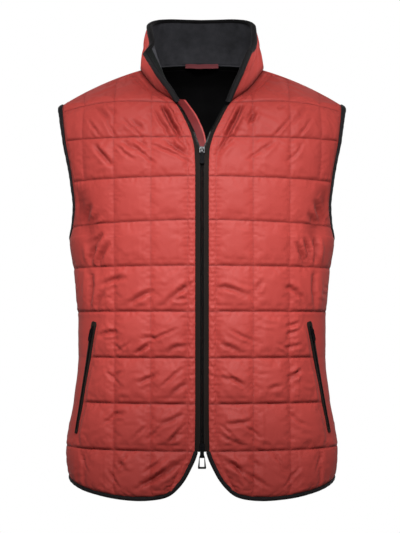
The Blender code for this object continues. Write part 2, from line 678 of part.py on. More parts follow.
# Hanger loop across the inner back neck seam, bowed away from the collar.
LOOP_HALF, LOOP_HEIGHT, LOOP_WALL, LOOP_BOW = 0.0260, 0.0065, 0.0013, 0.0075
mid_k = int(np.argmin([abs(s[0][0]) + (0 if s[0][1] > 0 else 9) for s in SEAM]))
loop_y = lining_in[1][mid_k][1] - 0.0010
loop_z = lining_in[1][mid_k][2] - 0.0058
steps = 10
outer_pts, inner_pts = [], []
for i in range(steps + 1):
    q = -1 + 2 * i / steps
    x = LOOP_HALF * q
    bow = LOOP_BOW * (1 - abs(q) ** 2.6)
    curve = 0.0052 * q * q
    y = loop_y - bow - curve
    outer_pts.append((x, y))
loop_rings = []
for i, (x, y) in enumerate(outer_pts):
    a = outer_pts[max(i - 1, 0)]
    b = outer_pts[min(i + 1, steps)]
    t = unit(np.array([b[0] - a[0], b[1] - a[1]]))
    nx, ny = t[1], -t[0]
    sag = -0.0010 * (1 - (x / LOOP_HALF) ** 2)
    p = np.array([x, y, loop_z + sag])
    w = np.array([nx, ny, 0.0]) * LOOP_WALL
    h = np.array([0.0, 0.0, LOOP_HEIGHT])
    loop_rings.append([p, p + w, p + w + h, p + h])
strip("hanger_loop", loop_rings, "loop_cloth")

# ------------------------------------------------------------------ front zip
def front_edge_at(z, panel):
    """Reference point, normal and direction into the panel at the front edge, by height."""
    rr = np.linspace(0.6, NECK_ROW, 400)
    zz = np.array([column(FRONT_EDGE, r, 4) for r in rr])
    r = float(np.interp(z, zz, rr))
    p = panel.point(0.0, r)
    n = panel.normal(0.0, r)
    d = unit(panel.point(0.02, r) - p)
    return p, n, d, r


TAPE_GAP = 0.0006          # air between a tape and the panel edge over it
COIL_PATH = [
    # z       panel edge to coil edge on the wearer's right and left
    (-0.5840, 0.0098, 0.0098),
    (-0.5830, 0.0097, 0.0097),
    (-0.5800, 0.0104, 0.0104),
    (-0.1390, 0.0104, 0.0104),
    (-0.1345, 0.0101, 0.0101),
    (-0.1300, 0.0098, 0.0098),
    (-0.1180, 0.0074, 0.0083),
    (-0.1000, 0.0068, 0.0080),
    (-0.0600, 0.0062, 0.0082),
]


def zip_half(panel, side):
    """One tape with its coil edge.  The coil edges meet on the centre line between the sliders."""
    heights = [panel.P[i][0][2] for i in range(first_corner, NECK + 1)]
    heights += [-0.5832, -0.5815, -0.5790, ZIP_TOP_Z - 0.0045, ZIP_TOP_Z, ZIP_TOP_Z + 0.0045]
    heights = sorted(h for h in heights if h < -0.0605) + [-0.0612]
    kept = []
    for h in heights:
        if not kept or h - kept[-1] > 0.0008:
            kept.append(h)
    rings = []
    for z in kept:
        p, n, d, r = front_edge_at(z, panel)
        n = unit(np.array([0.0, n[1], 0.0])) if z < -0.16 else n
        under = p - n * (WALL + TAPE_GAP)
        into = unit(d - n * np.dot(d, n))
        reach = float(np.interp(z, [k[0] for k in COIL_PATH], [k[1 if side < 0 else 2] for k in COIL_PATH]))
        edge = under - into * reach
        least = 0.0011 if z < -0.5812 or z > ZIP_TOP_Z + 0.003 else SEAM_GAP / 2
        if z < ZIP_TOP_Z + 0.001 or abs(edge[0]) < least:
            edge[0] = side * least
        bead = edge + unit(under - edge) * COIL_HALF
        hid = under + into * TAPE_UNDER
        w = -n * TAPE_WALL
        lift = n * COIL_PROUD
        rings.append([hid, bead, bead + lift, edge + lift, edge + w - n * 0.0006, bead + w, hid + w])
    return strip(f"zip_tape_{'r' if side < 0 else 'l'}", rings, "zip_tape"), rings


tape_r, rings_r = zip_half(front_r, -1)
tape_l, rings_l = zip_half(front_l, 1)

# Wind flap: sewn behind the wearer's right tape, reaching past the centre line.
FLAP_STATIONS = [-0.560, -0.50, -0.44, -0.38, -0.32, -0.26, -0.20, -0.165, -0.1345, -0.118, -0.102, -0.086, -0.072, -0.0605]
FLAP_RISE = 0.0085         # the flap's top end stands above the neck seam
FLAP_REACH = [
    # z       past the panel edge, set back behind the tape, sewn under the panel
    (-0.560, 0.0215, 0.0040, 0.0110),
    (-0.1345, 0.0190, 0.0042, 0.0110),
    (-0.100, 0.0185, 0.0060, 0.0070),
    (-0.0605, 0.0195, 0.0075, 0.0015),
]
rings = []
for z in FLAP_STATIONS:
    p, n, d, r = front_edge_at(z, front_r)
    p = p.copy()
    p[2] = z
    n = unit(np.array([n[0], n[1], 0.0])) if z < -0.14 else n
    into = unit(d - n * np.dot(d, n))
    reach = column(FLAP_REACH, z, 1)
    back_off = column(FLAP_REACH, z, 2)
    root = p - n * (WALL + 0.0026) + into * column(FLAP_REACH, z, 3)
    tip = p - n * (WALL + back_off) - into * reach
    midp = p - n * (WALL + 0.5 * (0.0026 + back_off) + 0.0008) - into * (reach * 0.3)
    w = -n * 0.0016
    rings.append([root, midp, tip, tip + w, midp + w, root + w])
rise = [b + unit(b - a) * FLAP_RISE for a, b in zip(rings[-2], rings[-1])]
rings.append(rise)
strip("wind_flap", rings, "red_flap")


# ------------------------------------------------------------------ hard pieces
def box(name, lo, hi, mat="dark_metal", where=None):
    bm = bmesh.new()
    bmesh.ops.create_cube(bm, size=1.0)
    c = (Vector(lo) + Vector(hi)) / 2
    s = Vector(hi) - Vector(lo)
    bmesh.ops.scale(bm, verts=bm.verts, vec=s)
    bmesh.ops.translate(bm, verts=bm.verts, vec=c)
    return to_object(name, bm, mat, smooth=False, where=where)


def bevel(ob, width, segments=2):
    m = ob.modifiers.new("edge", "BEVEL")
    m.width = width
    m.segments = segments
    m.limit_method = "ANGLE"
    return m


def boolean(ob, tool, how):
    m = ob.modifiers.new(how.lower(), "BOOLEAN")
    m.operation = how
    m.solver = "EXACT"
    m.object = tool
    tool.hide_render = True
    tool.display_type = "WIRE"
    return m


def settle(ob, matrix=None):
    """Applies the modifiers, so that the object can be placed as a whole."""
    dg = bpy.context.evaluated_depsgraph_get()
    me = bpy.data.meshes.new_from_object(ob.evaluated_get(dg))
    old = ob.data
    ob.modifiers.clear()
    ob.data = me
    bpy.data.meshes.remove(old)
    if matrix is not None:
        me.transform(matrix)
    return ob


def place(origin, across, out):
    """Local frame of a slider: x across the zip, -y away from the cloth, z along the zip, upwards."""
    x = unit(np.array(across, float))
    y = -unit(np.array(out, float))
    y = unit(y - x * np.dot(x, y))
    z = np.cross(x, y)
    return Matrix(((x[0], y[0], z[0], origin[0]), (x[1], y[1], z[1], origin[1]),
                   (x[2], y[2], z[2], origin[2]), (0, 0, 0, 1)))


SLIDER = dict(half_width=0.0042, length=0.0105, plate=0.0012, bail_half=0.0008, bail_height=0.0034,
              bail_wall=0.0009, bail_length=0.0072)


def slider(name, matrix, mat, diamond=0.0, scale=1.0, depth=0.0):
    """Front plate with a bail over it; diamond +1/-1 adds the wedge and the rear plate for an open zip."""
    k = SLIDER
    hw, ln, pl = k["half_width"] * scale, k["length"] * scale, k["plate"]
    body = box(name, (-hw, -pl, -ln / 2), (hw, 0.0, ln / 2), mat)
    bevel(body, 0.0004, 1)
    body = settle(body)
    # bail: a bar raised over the plate on two feet
    bl, bh, bw = k["bail_length"] * scale, k["bail_height"], k["bail_wall"]
    bail = box(name + "_bail", (-k["bail_half"], -pl - bh, -bl / 2), (k["bail_half"], -pl + 0.0004, bl / 2), mat, CUTTERS)
    hole = box(name + "_hole", (-0.01, -pl - bh + bw, -bl / 2 + bw), (0.01, -pl - 0.0002, bl / 2 - bw), mat, CUTTERS)
    boolean(bail, hole, "DIFFERENCE")
    settle(bail)
    bpy.data.objects.remove(hole)
    boolean(body, bail, "UNION")
    settle(body)
    bpy.data.objects.remove(bail)
    if diamond:
        zc = diamond * ln / 2
        post = box(name + "_post", (-0.0005, -0.0004, zc - 0.0012 * (diamond > 0) - 0.0 * (diamond < 0)),
                   (0.0005, depth + 0.0004, zc + 0.0012 * (diamond < 0)), mat, CUTTERS)
        boolean(body, post, "UNION")
        settle(body)
        bpy.data.objects.remove(post)
        rear = box(name + "_rear", (-hw * 0.9, depth, -ln / 2), (hw * 0.9, depth + pl * 0.8, ln / 2), mat, CUTTERS)
        boolean(body, rear, "UNION")
        settle(body)
        bpy.data.objects.remove(rear)
    settle(body, matrix)
    body.data.update()
    return body


def pull(name, matrix, mat, outline, bar_half, thick, hinge, hole=None):
    """A flat pull with a cross bar on its hinge axis; outline is its half width down its length."""
    # outline rows: distance below the hinge, half width
    bm = bmesh.new()
    left = [(-w, -d) for d, w in outline]
    right = [(w, -d) for d, w in reversed(outline)]
    verts = [bm.verts.new((x, -thick / 2, z)) for x, z in left + right]
    face = bm.faces.new(verts)
    got = bmesh.ops.extrude_face_region(bm, geom=[face])
    moved = [g for g in got["geom"] if isinstance(g, bmesh.types.BMVert)]
    bmesh.ops.translate(bm, verts=moved, vec=(0.0, thick, 0.0))
    body = to_object(name, bm, mat, smooth=False)
    for n, (x0, z0, x1, z1) in enumerate(hole or []):
        cut = box(f"{name}_cut{n}", (x0, -0.01, z0), (x1, 0.01, z1), mat, CUTTERS)
        boolean(body, cut, "DIFFERENCE")
        settle(body)
        bpy.data.objects.remove(cut)
    # local origin is on the hinge: shift into place
    shift = matrix @ Matrix.Translation(hinge)
    settle(body, shift)
    origin = shift.translation.copy()
    body.data.transform(Matrix.Translation(-origin))
    body.location = origin
    return body


def zip_frame(z):
    """Frame on the centre line, its origin on the front of the closed coil."""
    p, n, d, r = front_edge_at(z, front_l)
    n = unit(np.array([0.0, n[1], 0.0]))
    y = p[1] - n[1] * (WALL + TAPE_GAP) + n[1] * COIL_PROUD
    return np.array([0.0, y + n[1] * SEAM_GAP * 1.5, z])


DEPTH = COIL_PROUD + TAPE_WALL + 0.0006 + SEAM_GAP * 3.0
HINGE = Vector((0.0, -SLIDER["plate"] - 0.0014, 0.0008))
PULL_THICK = 0.0011

centre = zip_frame(ZIP_TOP_Z)
# the placket leans here: follow the line between the zip's points just above and below
lean = unit(zip_frame(ZIP_TOP_Z + 0.006) - zip_frame(ZIP_TOP_Z - 0.006))
out_dir = np.array([0.0, -lean[2], lean[1]])
TOP_M = place(centre + out_dir * 0.0002, (1, 0, 0), out_dir)
slider("zip_slider_top", TOP_M, "dark_metal", diamond=1.0, depth=DEPTH)
pull("zip_pull_top", TOP_M, "dark_metal",
     [(-0.0007, 0.0026), (0.0050, 0.0026), (0.0075, 0.0030), (0.0150, 0.0034), (0.0215, 0.0034), (0.0230, 0.0022)],
     0.0026, PULL_THICK, HINGE, hole=[(-0.0014, -0.0052, 0.0014, -0.0007)])

centre = zip_frame(ZIP_BOTTOM_Z)
BOT_M = place(centre, (1, 0, 0), (0, -1, 0))
slider("zip_slider_bottom", BOT_M, "dark_metal", diamond=-1.0, depth=DEPTH)
pull("zip_pull_bottom", BOT_M, "dark_metal",
     [(-0.0007, 0.0027), (0.0115, 0.0030), (0.0135, 0.0036), (0.0150, 0.0042), (0.0310, 0.0062), (0.0325, 0.0055)],
     0.0026, PULL_THICK, HINGE,
     hole=[(-0.0014, -0.0052, 0.0014, -0.0007), (-0.0034, -0.0295, 0.0034, -0.0165)])


# ------------------------------------------------------------------ pockets
def front_at(panel, x, z):
    """Row and column of the front panel's reference surface at a half-width and a height."""
    u, r = 0.7, 3.0
    for _ in range(60):
        p = panel.point(u, r)
        ex, ez = abs(x) - abs(p[0]), z - p[2]
        if abs(ex) + abs(ez) < 1e-7:
            break
        e = 1e-4
        pu, pr = panel.point(u + e, r), panel.point(u, r + e)
        a = np.array([[abs(pu[0]) - abs(p[0]), abs(pr[0]) - abs(p[0])], [pu[2] - p[2], pr[2] - p[2]]]) / e
        du, dr = np.linalg.solve(a, [ex, ez])
        u = min(0.985, max(0.0, u + 0.7 * du))
        r = min(9.0, max(0.1, r + 0.7 * dr))
    return u, r


POCKET_LIFT = 0.0011


def pocket(panel, side, tag):
    k = POCKET[tag]
    (x0, z0), (x1, z1) = k["top"], k["low"]
    steps = 12
    rings, mids = [], []
    for i in range(steps + 1):
        t = i / steps
        x, z = x0 + (x1 - x0) * t, z0 + (z1 - z0) * t
        u, r = front_at(panel, x, z)
        p, n = panel.point(u, r), panel.normal(u, r)
        e = 0.01
        q = panel.point(*front_at(panel, x + (x1 - x0) * e, z + (z1 - z0) * e))
        along = unit(q - p)
        across = unit(np.cross(along, n))
        if across[0] * side < 0:
            across = -across
        w = (POCKET_WIDTH_TOP * (1 - t) + POCKET_WIDTH_LOW * t) / 2
        base = p + n * POCKET_LIFT
        c = 0.0016
        rings.append([base - across * w, base - across * w + n * 0.0008, base - across * c + n * 0.0009,
                      base - across * c * 0.8 + n * 0.0019, base + across * c * 0.8 + n * 0.0019,
                      base + across * c + n * 0.0009, base + across * w + n * 0.0008, base + across * w])
        mids.append((base + n * 0.0019, across, n, along))
    strip(f"pocket_zip_{tag}", rings, "zip_tape")
    at, across, n, along = mids[1]
    m = place(at + n * SEAM_GAP, across if side > 0 else -across, n)
    slider(f"pocket_slider_{tag}", m, "dark_metal", scale=0.85)
    pull(f"pocket_pull_{tag}", m, "dark_metal",
         [(-0.0007, 0.0024), (0.0045, 0.0024), (0.0065, 0.0028), (0.0150, 0.0030), (0.0165, 0.0020)],
         0.0024, PULL_THICK, HINGE, hole=[(-0.0014, -0.0050, 0.0014, -0.0007)])
    return m


POCKET_R_M = pocket(front_r, -1, "r")
POCKET_L_M = pocket(front_l, 1, "l")

for ob in list(CUTTERS.objects):
    ob.hide_render = True
    ob.display_type = "WIRE"
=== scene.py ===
"""Looks of the quilted stand-collar vest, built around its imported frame.

Metres, +Z up, the front faces -Y.  _r is the wearer's right (x < 0), _l the wearer's left (x > 0).
The cloth follows the same reference surfaces as the part: a row number counts quilt channels from the
hem (0) to the shoulder seam (10), and a column runs from the front edge or centre back to the side edge.
"""
import math

import bpy
import numpy as np
from mathutils import Matrix, Vector


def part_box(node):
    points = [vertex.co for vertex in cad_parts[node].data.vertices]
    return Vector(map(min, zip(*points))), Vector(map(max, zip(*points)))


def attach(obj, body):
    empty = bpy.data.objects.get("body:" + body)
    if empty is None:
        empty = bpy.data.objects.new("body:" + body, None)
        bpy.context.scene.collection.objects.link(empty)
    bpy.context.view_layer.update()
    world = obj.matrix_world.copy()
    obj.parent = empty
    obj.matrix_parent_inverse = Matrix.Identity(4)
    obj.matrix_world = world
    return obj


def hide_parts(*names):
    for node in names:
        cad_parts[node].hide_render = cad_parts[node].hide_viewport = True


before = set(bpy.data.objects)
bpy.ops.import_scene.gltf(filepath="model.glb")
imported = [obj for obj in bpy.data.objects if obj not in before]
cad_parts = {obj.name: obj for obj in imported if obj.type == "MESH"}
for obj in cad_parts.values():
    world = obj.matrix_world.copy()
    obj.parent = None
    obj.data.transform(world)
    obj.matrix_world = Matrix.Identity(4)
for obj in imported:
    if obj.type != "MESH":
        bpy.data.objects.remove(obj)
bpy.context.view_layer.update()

# ------------------------------------------------------------------ sizes and tables of the part
SEAM_GAP = 0.0003
WALL = 0.0022
ARMPIT_ROW = 5.67
BINDING_ARMHOLE_WIDTH = 0.0080
BINDING_HEM_WIDTH = 0.0062
COLLAR_OUTER_WALL = 0.0034
COLLAR_LINING_WALL = 0.0015
COLLAR_BINDING_WIDTH = 0.0040
COLLAR_FOOT_GAP = 0.0010
TAPE_WALL = 0.0009
TAPE_UNDER = 0.0060
TAPE_GAP = 0.0006
COIL_HALF = 0.0030
COIL_PROUD = 0.0013
ZIP_TOP_Z = -0.1345
ZIP_BOTTOM_Z = -0.5780
POCKET_WIDTH_TOP = 0.0095
POCKET_WIDTH_LOW = 0.0060
POCKET_LIFT = 0.0011
LINING_GAP = 0.0017

FRONT_EDGE = [
    # row    x_r      x_l      y        z
    (0.00, 0.0440, 0.0440, -0.1165, -0.6405),
    (0.33, 0.0325, 0.0325, -0.1175, -0.6295),
    (0.67, 0.0205, 0.0205, -0.1182, -0.6070),
    (1.00, 0.0112, 0.0112, -0.1190, -0.5840),
    (2.00, 0.0102, 0.0102, -0.1205, -0.5137),
    (3.00, 0.0102, 0.0102, -0.1210, -0.4454),
    (4.00, 0.0102, 0.0102, -0.1215, -0.3760),
    (5.00, 0.0102, 0.0102, -0.1220, -0.3076),
    (6.00, 0.0102, 0.0102, -0.1220, -0.2391),
    (7.00, 0.0102, 0.0102, -0.1195, -0.1738),
    (7.60, 0.0112, 0.0112, -0.1130, -0.1370),
    (8.00, 0.0152, 0.0165, -0.1065, -0.1140),
    (8.50, 0.0262, 0.0290, -0.0970, -0.0860),
    (9.00, 0.0410, 0.0435, -0.0845, -0.0600),
    (9.50, 0.0710, 0.0715, -0.0530, -0.0350),
    (10.0, 0.0965, 0.0965, 0.0040, 0.0030),
]
FRONT_SIDE = [
    # row    x       y        z       turn
    (0.00, 0.2050, 0.0000, -0.6290, 90.0),
    (1.00, 0.2095, 0.0000, -0.5824, 90.0),
    (2.00, 0.1990, 0.0000, -0.5137, 90.0),
    (3.00, 0.1920, 0.0000, -0.4454, 90.0),
    (4.00, 0.1925, 0.0000, -0.3760, 90.0),
    (5.00, 0.1990, 0.0000, -0.3093, 90.0),
    (5.67, 0.2055, 0.0000, -0.2640, 90.0),
    (5.78, 0.2045, -0.0119, -0.2610, 83.5),
    (5.89, 0.2022, -0.0208, -0.2545, 78.5),
    (6.00, 0.1992, -0.0300, -0.2458, 72.5),
    (6.50, 0.1948, -0.0470, -0.2130, 63.0),
    (7.00, 0.1980, -0.0530, -0.1777, 57.0),
    (8.00, 0.2095, -0.0470, -0.1141, 50.0),
    (9.00, 0.2165, -0.0220, -0.0665, 40.0),
    (9.50, 0.2180, -0.0095, -0.0575, 22.0),
    (10.0, 0.2185, 0.0040, -0.0520, 0.0),
]
FRONT_ROW = [
    # row   k_in   k_out   arch    early
    (0.00, 0.60, 0.60, -0.0150, 0.5),
    (1.00, 0.60, 0.60, 0.0000, 1.0),
    (5.67, 0.61, 0.60, 0.0000, 1.0),
    (5.78, 0.577, 0.507, 0.0000, 1.0),
    (5.89, 0.558, 0.454, 0.0000, 1.0),
    (6.00, 0.545, 0.410, 0.0000, 1.0),
    (6.50, 0.515, 0.355, 0.0000, 1.0),
    (7.00, 0.49, 0.325, 0.0000, 1.0),
    (8.00, 0.50, 0.36, 0.0000, 1.0),
    (9.00, 0.50, 0.42, 0.0060, 1.0),
    (9.50, 0.45, 0.40, 0.0065, 1.0),
    (10.0, 0.33, 0.33, 0.0050, 1.0),
]
CENTRE_BACK = [
    # row    y       z
    (0.00, 0.1085, -0.5980),
    (1.00, 0.1090, -0.5840),
    (2.00, 0.1055, -0.5137),
    (3.00, 0.1005, -0.4454),
    (4.00, 0.0995, -0.3760),
    (5.00, 0.1060, -0.3076),
    (6.00, 0.1165, -0.2391),
    (7.00, 0.1230, -0.1738),
    (8.00, 0.1215, -0.1141),
    (9.00, 0.1080, -0.0500),
    (10.0, 0.0760, 0.0190),
]
BACK_SIDE = [
    # row    x       y       z       turn
    (0.00, 0.2050, 0.0000, -0.6290, 90.0),
    (1.00, 0.2095, 0.0000, -0.5824, 90.0),
    (2.00, 0.1990, 0.0000, -0.5137, 90.0),
    (3.00, 0.1920, 0.0000, -0.4454, 90.0),
    (4.00, 0.1925, 0.0000, -0.3760, 90.0),
    (5.00, 0.1990, 0.0000, -0.3093, 90.0),
    (5.67, 0.2055, 0.0000, -0.2640, 90.0),
    (5.78, 0.2047, 0.0119, -0.2610, 83.5),
    (5.89, 0.2028, 0.0212, -0.2545, 78.5),
    (6.00, 0.2005, 0.0305, -0.2458, 73.5),
    (6.50, 0.1975, 0.0500, -0.2130, 65.0),
    (7.00, 0.1998, 0.0590, -0.1777, 59.0),
    (8.00, 0.2095, 0.0560, -0.1141, 53.0),
    (9.00, 0.2165, 0.0290, -0.0665, 42.0),
    (9.50, 0.2180, 0.0165, -0.0575, 24.0),
    (10.0, 0.2185, 0.0040, -0.0520, 0.0),
]
BACK_ROW = [
    # row   k_in   k_out   arch    early
    (0.00, 0.60, 0.60, 0.0000, 1.0),
    (5.67, 0.60, 0.60, 0.0000, 1.0),
    (5.78, 0.577, 0.507, 0.0000, 1.0),
    (5.89, 0.558, 0.454, 0.0000, 1.0),
    (6.00, 0.545, 0.410, 0.0000, 1.0),
    (6.50, 0.515, 0.355, 0.0000, 1.0),
    (7.00, 0.49, 0.325, 0.0000, 1.0),
    (8.00, 0.50, 0.36, 0.0000, 1.0),
    (9.00, 0.50, 0.42, 0.0040, 1.0),
    (9.50, 0.45, 0.40, 0.0040, 1.0),
]
BACK_TOP = [
    # across  x       y       z
    (0.000, 0.0000, 0.0760, 0.0190),
    (0.180, 0.0420, 0.0690, 0.0172),
    (0.320, 0.0740, 0.0480, 0.0120),
    (0.450, 0.0965, 0.0040, 0.0030),
    (0.725, 0.1580, 0.0040, -0.0198),
    (1.000, 0.2185, 0.0040, -0.0520),
]
COLLAR_TOP = [
    # along   x_r      x_l      y_r      y_l      z_r     z_l
    (0.00, 0.0000, 0.0000, 0.0660, 0.0660, 0.0905, 0.0905),
    (0.20, 0.0400, 0.0400, 0.0600, 0.0600, 0.0905, 0.0905),
    (0.38, 0.0700, 0.0690, 0.0420, 0.0420, 0.0865, 0.0862),
    (0.55, 0.0855, 0.0835, 0.0080, 0.0080, 0.0725, 0.0715),
    (0.72, 0.0828, 0.0840, -0.0220, -0.0240, 0.0545, 0.0485),
    (0.86, 0.0792, 0.0815, -0.0440, -0.0475, 0.0345, 0.0290),
    (1.00, 0.0850, 0.0730, -0.0620, -0.0620, 0.0190, 0.0205),
]
POCKET = {"r": dict(top=(0.1620, -0.3915), low=(0.1905, -0.5620)),
          "l": dict(top=(0.1610, -0.3915), low=(0.1930, -0.5610))}
COIL_PATH = [
    # z       panel edge to coil edge on the wearer's right and left
    (-0.5840, 0.0098, 0.0098),
    (-0.5830, 0.0097, 0.0097),
    (-0.5800, 0.0104, 0.0104),
    (-0.1390, 0.0104, 0.0104),
    (-0.1345, 0.0101, 0.0101),
    (-0.1300, 0.0098, 0.0098),
    (-0.1180, 0.0074, 0.0083),
    (-0.1000, 0.0068, 0.0080),
    (-0.0600, 0.0062, 0.0082),
]
FLAP_RISE = 0.0205
FLAP_REACH = [
    # z       past the panel edge, set back behind the tape, sewn under the panel
    (-0.560, 0.0215, 0.0040, 0.0110),
    (-0.1345, 0.0190, 0.0042, 0.0110),
    (-0.100, 0.0222, 0.0060, 0.0070),
    (-0.0605, 0.0262, 0.0075, 0.0015),
]

# ------------------------------------------------------------------ quilting and creases
PUFF = 0.0048              # crown of a quilted cell over its stitched lines, before it swells
STITCH_LIFT = 0.0004       # height of a stitched line over the reference surface
TOPSTITCH = 0.0110         # from the front edge to the topstitching
FRONT_LINES = (0.0765, 0.1340, 0.187)      # vertical stitch lines of a front, arc distance from centre
BACK_LINES = (0.056, 0.112, 0.168)
VERTICAL = 0.66            # how far a vertical line pulls a cell down; the horizontal channels are pulled right down
# How full the cells are by row: flat over the chest, fuller below the waist.
FULLNESS = [
    # row   fullness
    (0.0, 1.10), (1.0, 1.30), (2.0, 1.32), (3.0, 1.25), (4.0, 1.05), (5.0, 0.85), (6.0, 0.68), (7.0, 0.72), (8.0, 0.80),
    (9.0, 0.80), (10.0, 0.70),
]
# How much of the outermost vertical line of a front is stitched, by row.
THIRD_LINE = [
    # row   strength
    (0.0, 0.52), (0.97, 0.52), (1.03, 0.0), (6.97, 0.0), (7.03, 0.55), (10.0, 0.62),
]
# Creases of the fronts, in millimetres: three points (x, z), half width, depth (negative is a ridge),
# and how high the cloth stands up beside it.
CREASES_R = [
    # name            x0      z0      x1      z1      x2      z2     half  depth  lip
    ("throat",       -61.5,  -64.0,  -48.5,  -88.0,  -32.0, -118.0,  2.8,  3.6,  1.5),
    ("throat_low",   -58.1, -115.9,  -37.2, -133.1,  -15.7, -143.0,  3.2,  2.2,  0.9),
    ("throat_fan",   -36.4, -114.0,  -27.0, -125.4,  -18.4, -137.0,  2.6,  1.6,  0.7),
    ("shoulder_a",  -161.7,  -59.9, -150.4,  -73.8, -132.8,  -96.0,  3.4,  1.7,  0.7),
    ("shoulder_b",  -142.0,  -63.2, -135.4,  -71.7, -128.7,  -79.5,  2.8,  1.3,  0.5),
    ("chest_a",     -105.4,  -85.7,  -98.0,  -96.1,  -85.0, -104.3,  3.2,  1.5,  0.6),
    ("chest_b",     -165.2, -121.6, -149.4, -139.6, -134.1, -156.4,  3.2,  1.7,  0.7),
    ("chest_c",     -120.8, -118.9, -106.7, -129.3,  -92.4, -141.3,  3.0,  1.4,  0.6),
    ("chest_d",      -98.4, -117.1,  -89.0, -123.5,  -77.7, -133.2,  2.8,  1.3,  0.5),
    ("arm_a",       -166.0, -210.0, -173.0, -227.0, -182.0, -243.0,  4.6,  1.3,  0.9),
    ("arm_b",       -155.0, -226.0, -163.0, -237.0, -175.0, -247.0,  4.2,  1.0,  0.8),
    ("arm_c",       -148.0, -257.0, -156.0, -266.0, -165.0, -274.0,  3.8,  2.0,  0.9),
    ("arm_d",       -136.0, -271.0, -149.0, -289.0, -156.0, -308.0,  3.6,  2.3,  0.9),
    ("arm_e",       -159.0, -276.0, -165.0, -290.0, -168.0, -306.0,  3.6,  2.1,  0.9),
    ("waist_a",     -148.2, -337.7, -132.2, -328.6, -109.1, -326.2,  3.2,  1.9,  0.8),
    ("waist_b",     -108.8, -369.2,  -90.4, -353.3,  -70.0, -346.4,  3.2,  1.8,  0.8),
    ("waist_c",      -62.2, -371.4,  -26.8, -341.8,  -15.8, -339.5,  3.4,  2.0,  0.9),
    ("waist_d",      -39.7, -362.3,  -31.9, -357.7,  -21.2, -357.7,  2.6,  1.4,  0.6),
    ("waist_e",     -157.6, -371.5, -152.7, -357.9, -142.7, -346.6,  3.4,  1.8,  0.7),
    ("waist_f",     -166.0, -318.0, -165.0, -340.0, -168.0, -368.0,  4.0,  1.6,  0.7),
    ("low_a",           -157.1,  -415.3,  -136.0,  -408.3,  -123.7,  -410.7,  3.0,  1.8,  0.7),
    ("low_b",            -91.6,  -417.6,   -78.3,  -415.3,   -66.7,  -417.7,  2.6,  1.4,  0.6),
    ("low_c",            -97.9,  -441.1,   -87.2,  -431.6,   -78.3,  -426.9,  2.6,  1.5,  0.6),
    ("low_d",            -49.5,  -441.1,   -39.5,  -429.3,   -12.9,  -429.3,  3.0,  1.8,  0.7),
    ("low_e",           -129.0,  -427.0,  -124.0,  -431.0,  -120.5,  -437.0,  2.5,  1.2,  0.5),
    ("hip_a",            -94.9,  -484.1,   -81.2,  -477.3,   -62.1,  -468.2,  2.7,  1.7,  0.7),
    ("hip_b",            -50.7,  -506.0,   -34.7,  -490.8,   -15.7,  -481.8,  3.0,  1.8,  0.7),
    ("hip_c",           -133.5,  -475.0,  -126.1,  -470.5,  -116.5,  -465.9,  2.5,  1.3,  0.5),
    ("hip_d",           -133.0,  -530.1,  -123.3,  -530.1,  -112.8,  -527.7,  2.6,  1.4,  0.6),
    ("hip_e",            -65.2,  -544.2,   -43.8,  -537.1,   -24.3,  -525.3,  3.0,  1.7,  0.7),
    ("hip_f",        -48.2, -574.9,  -39.4, -563.0,  -25.0, -555.9,  3.0,  1.5,  0.7),
    ("hem_a",        -24.4, -590.9,  -54.4, -616.2,  -94.3, -634.4,  3.8,  2.3,  1.0),
    ("hem_b",       -128.0, -598.0, -118.0, -606.0, -112.0, -616.0,  3.0,  1.3,  0.5),
]
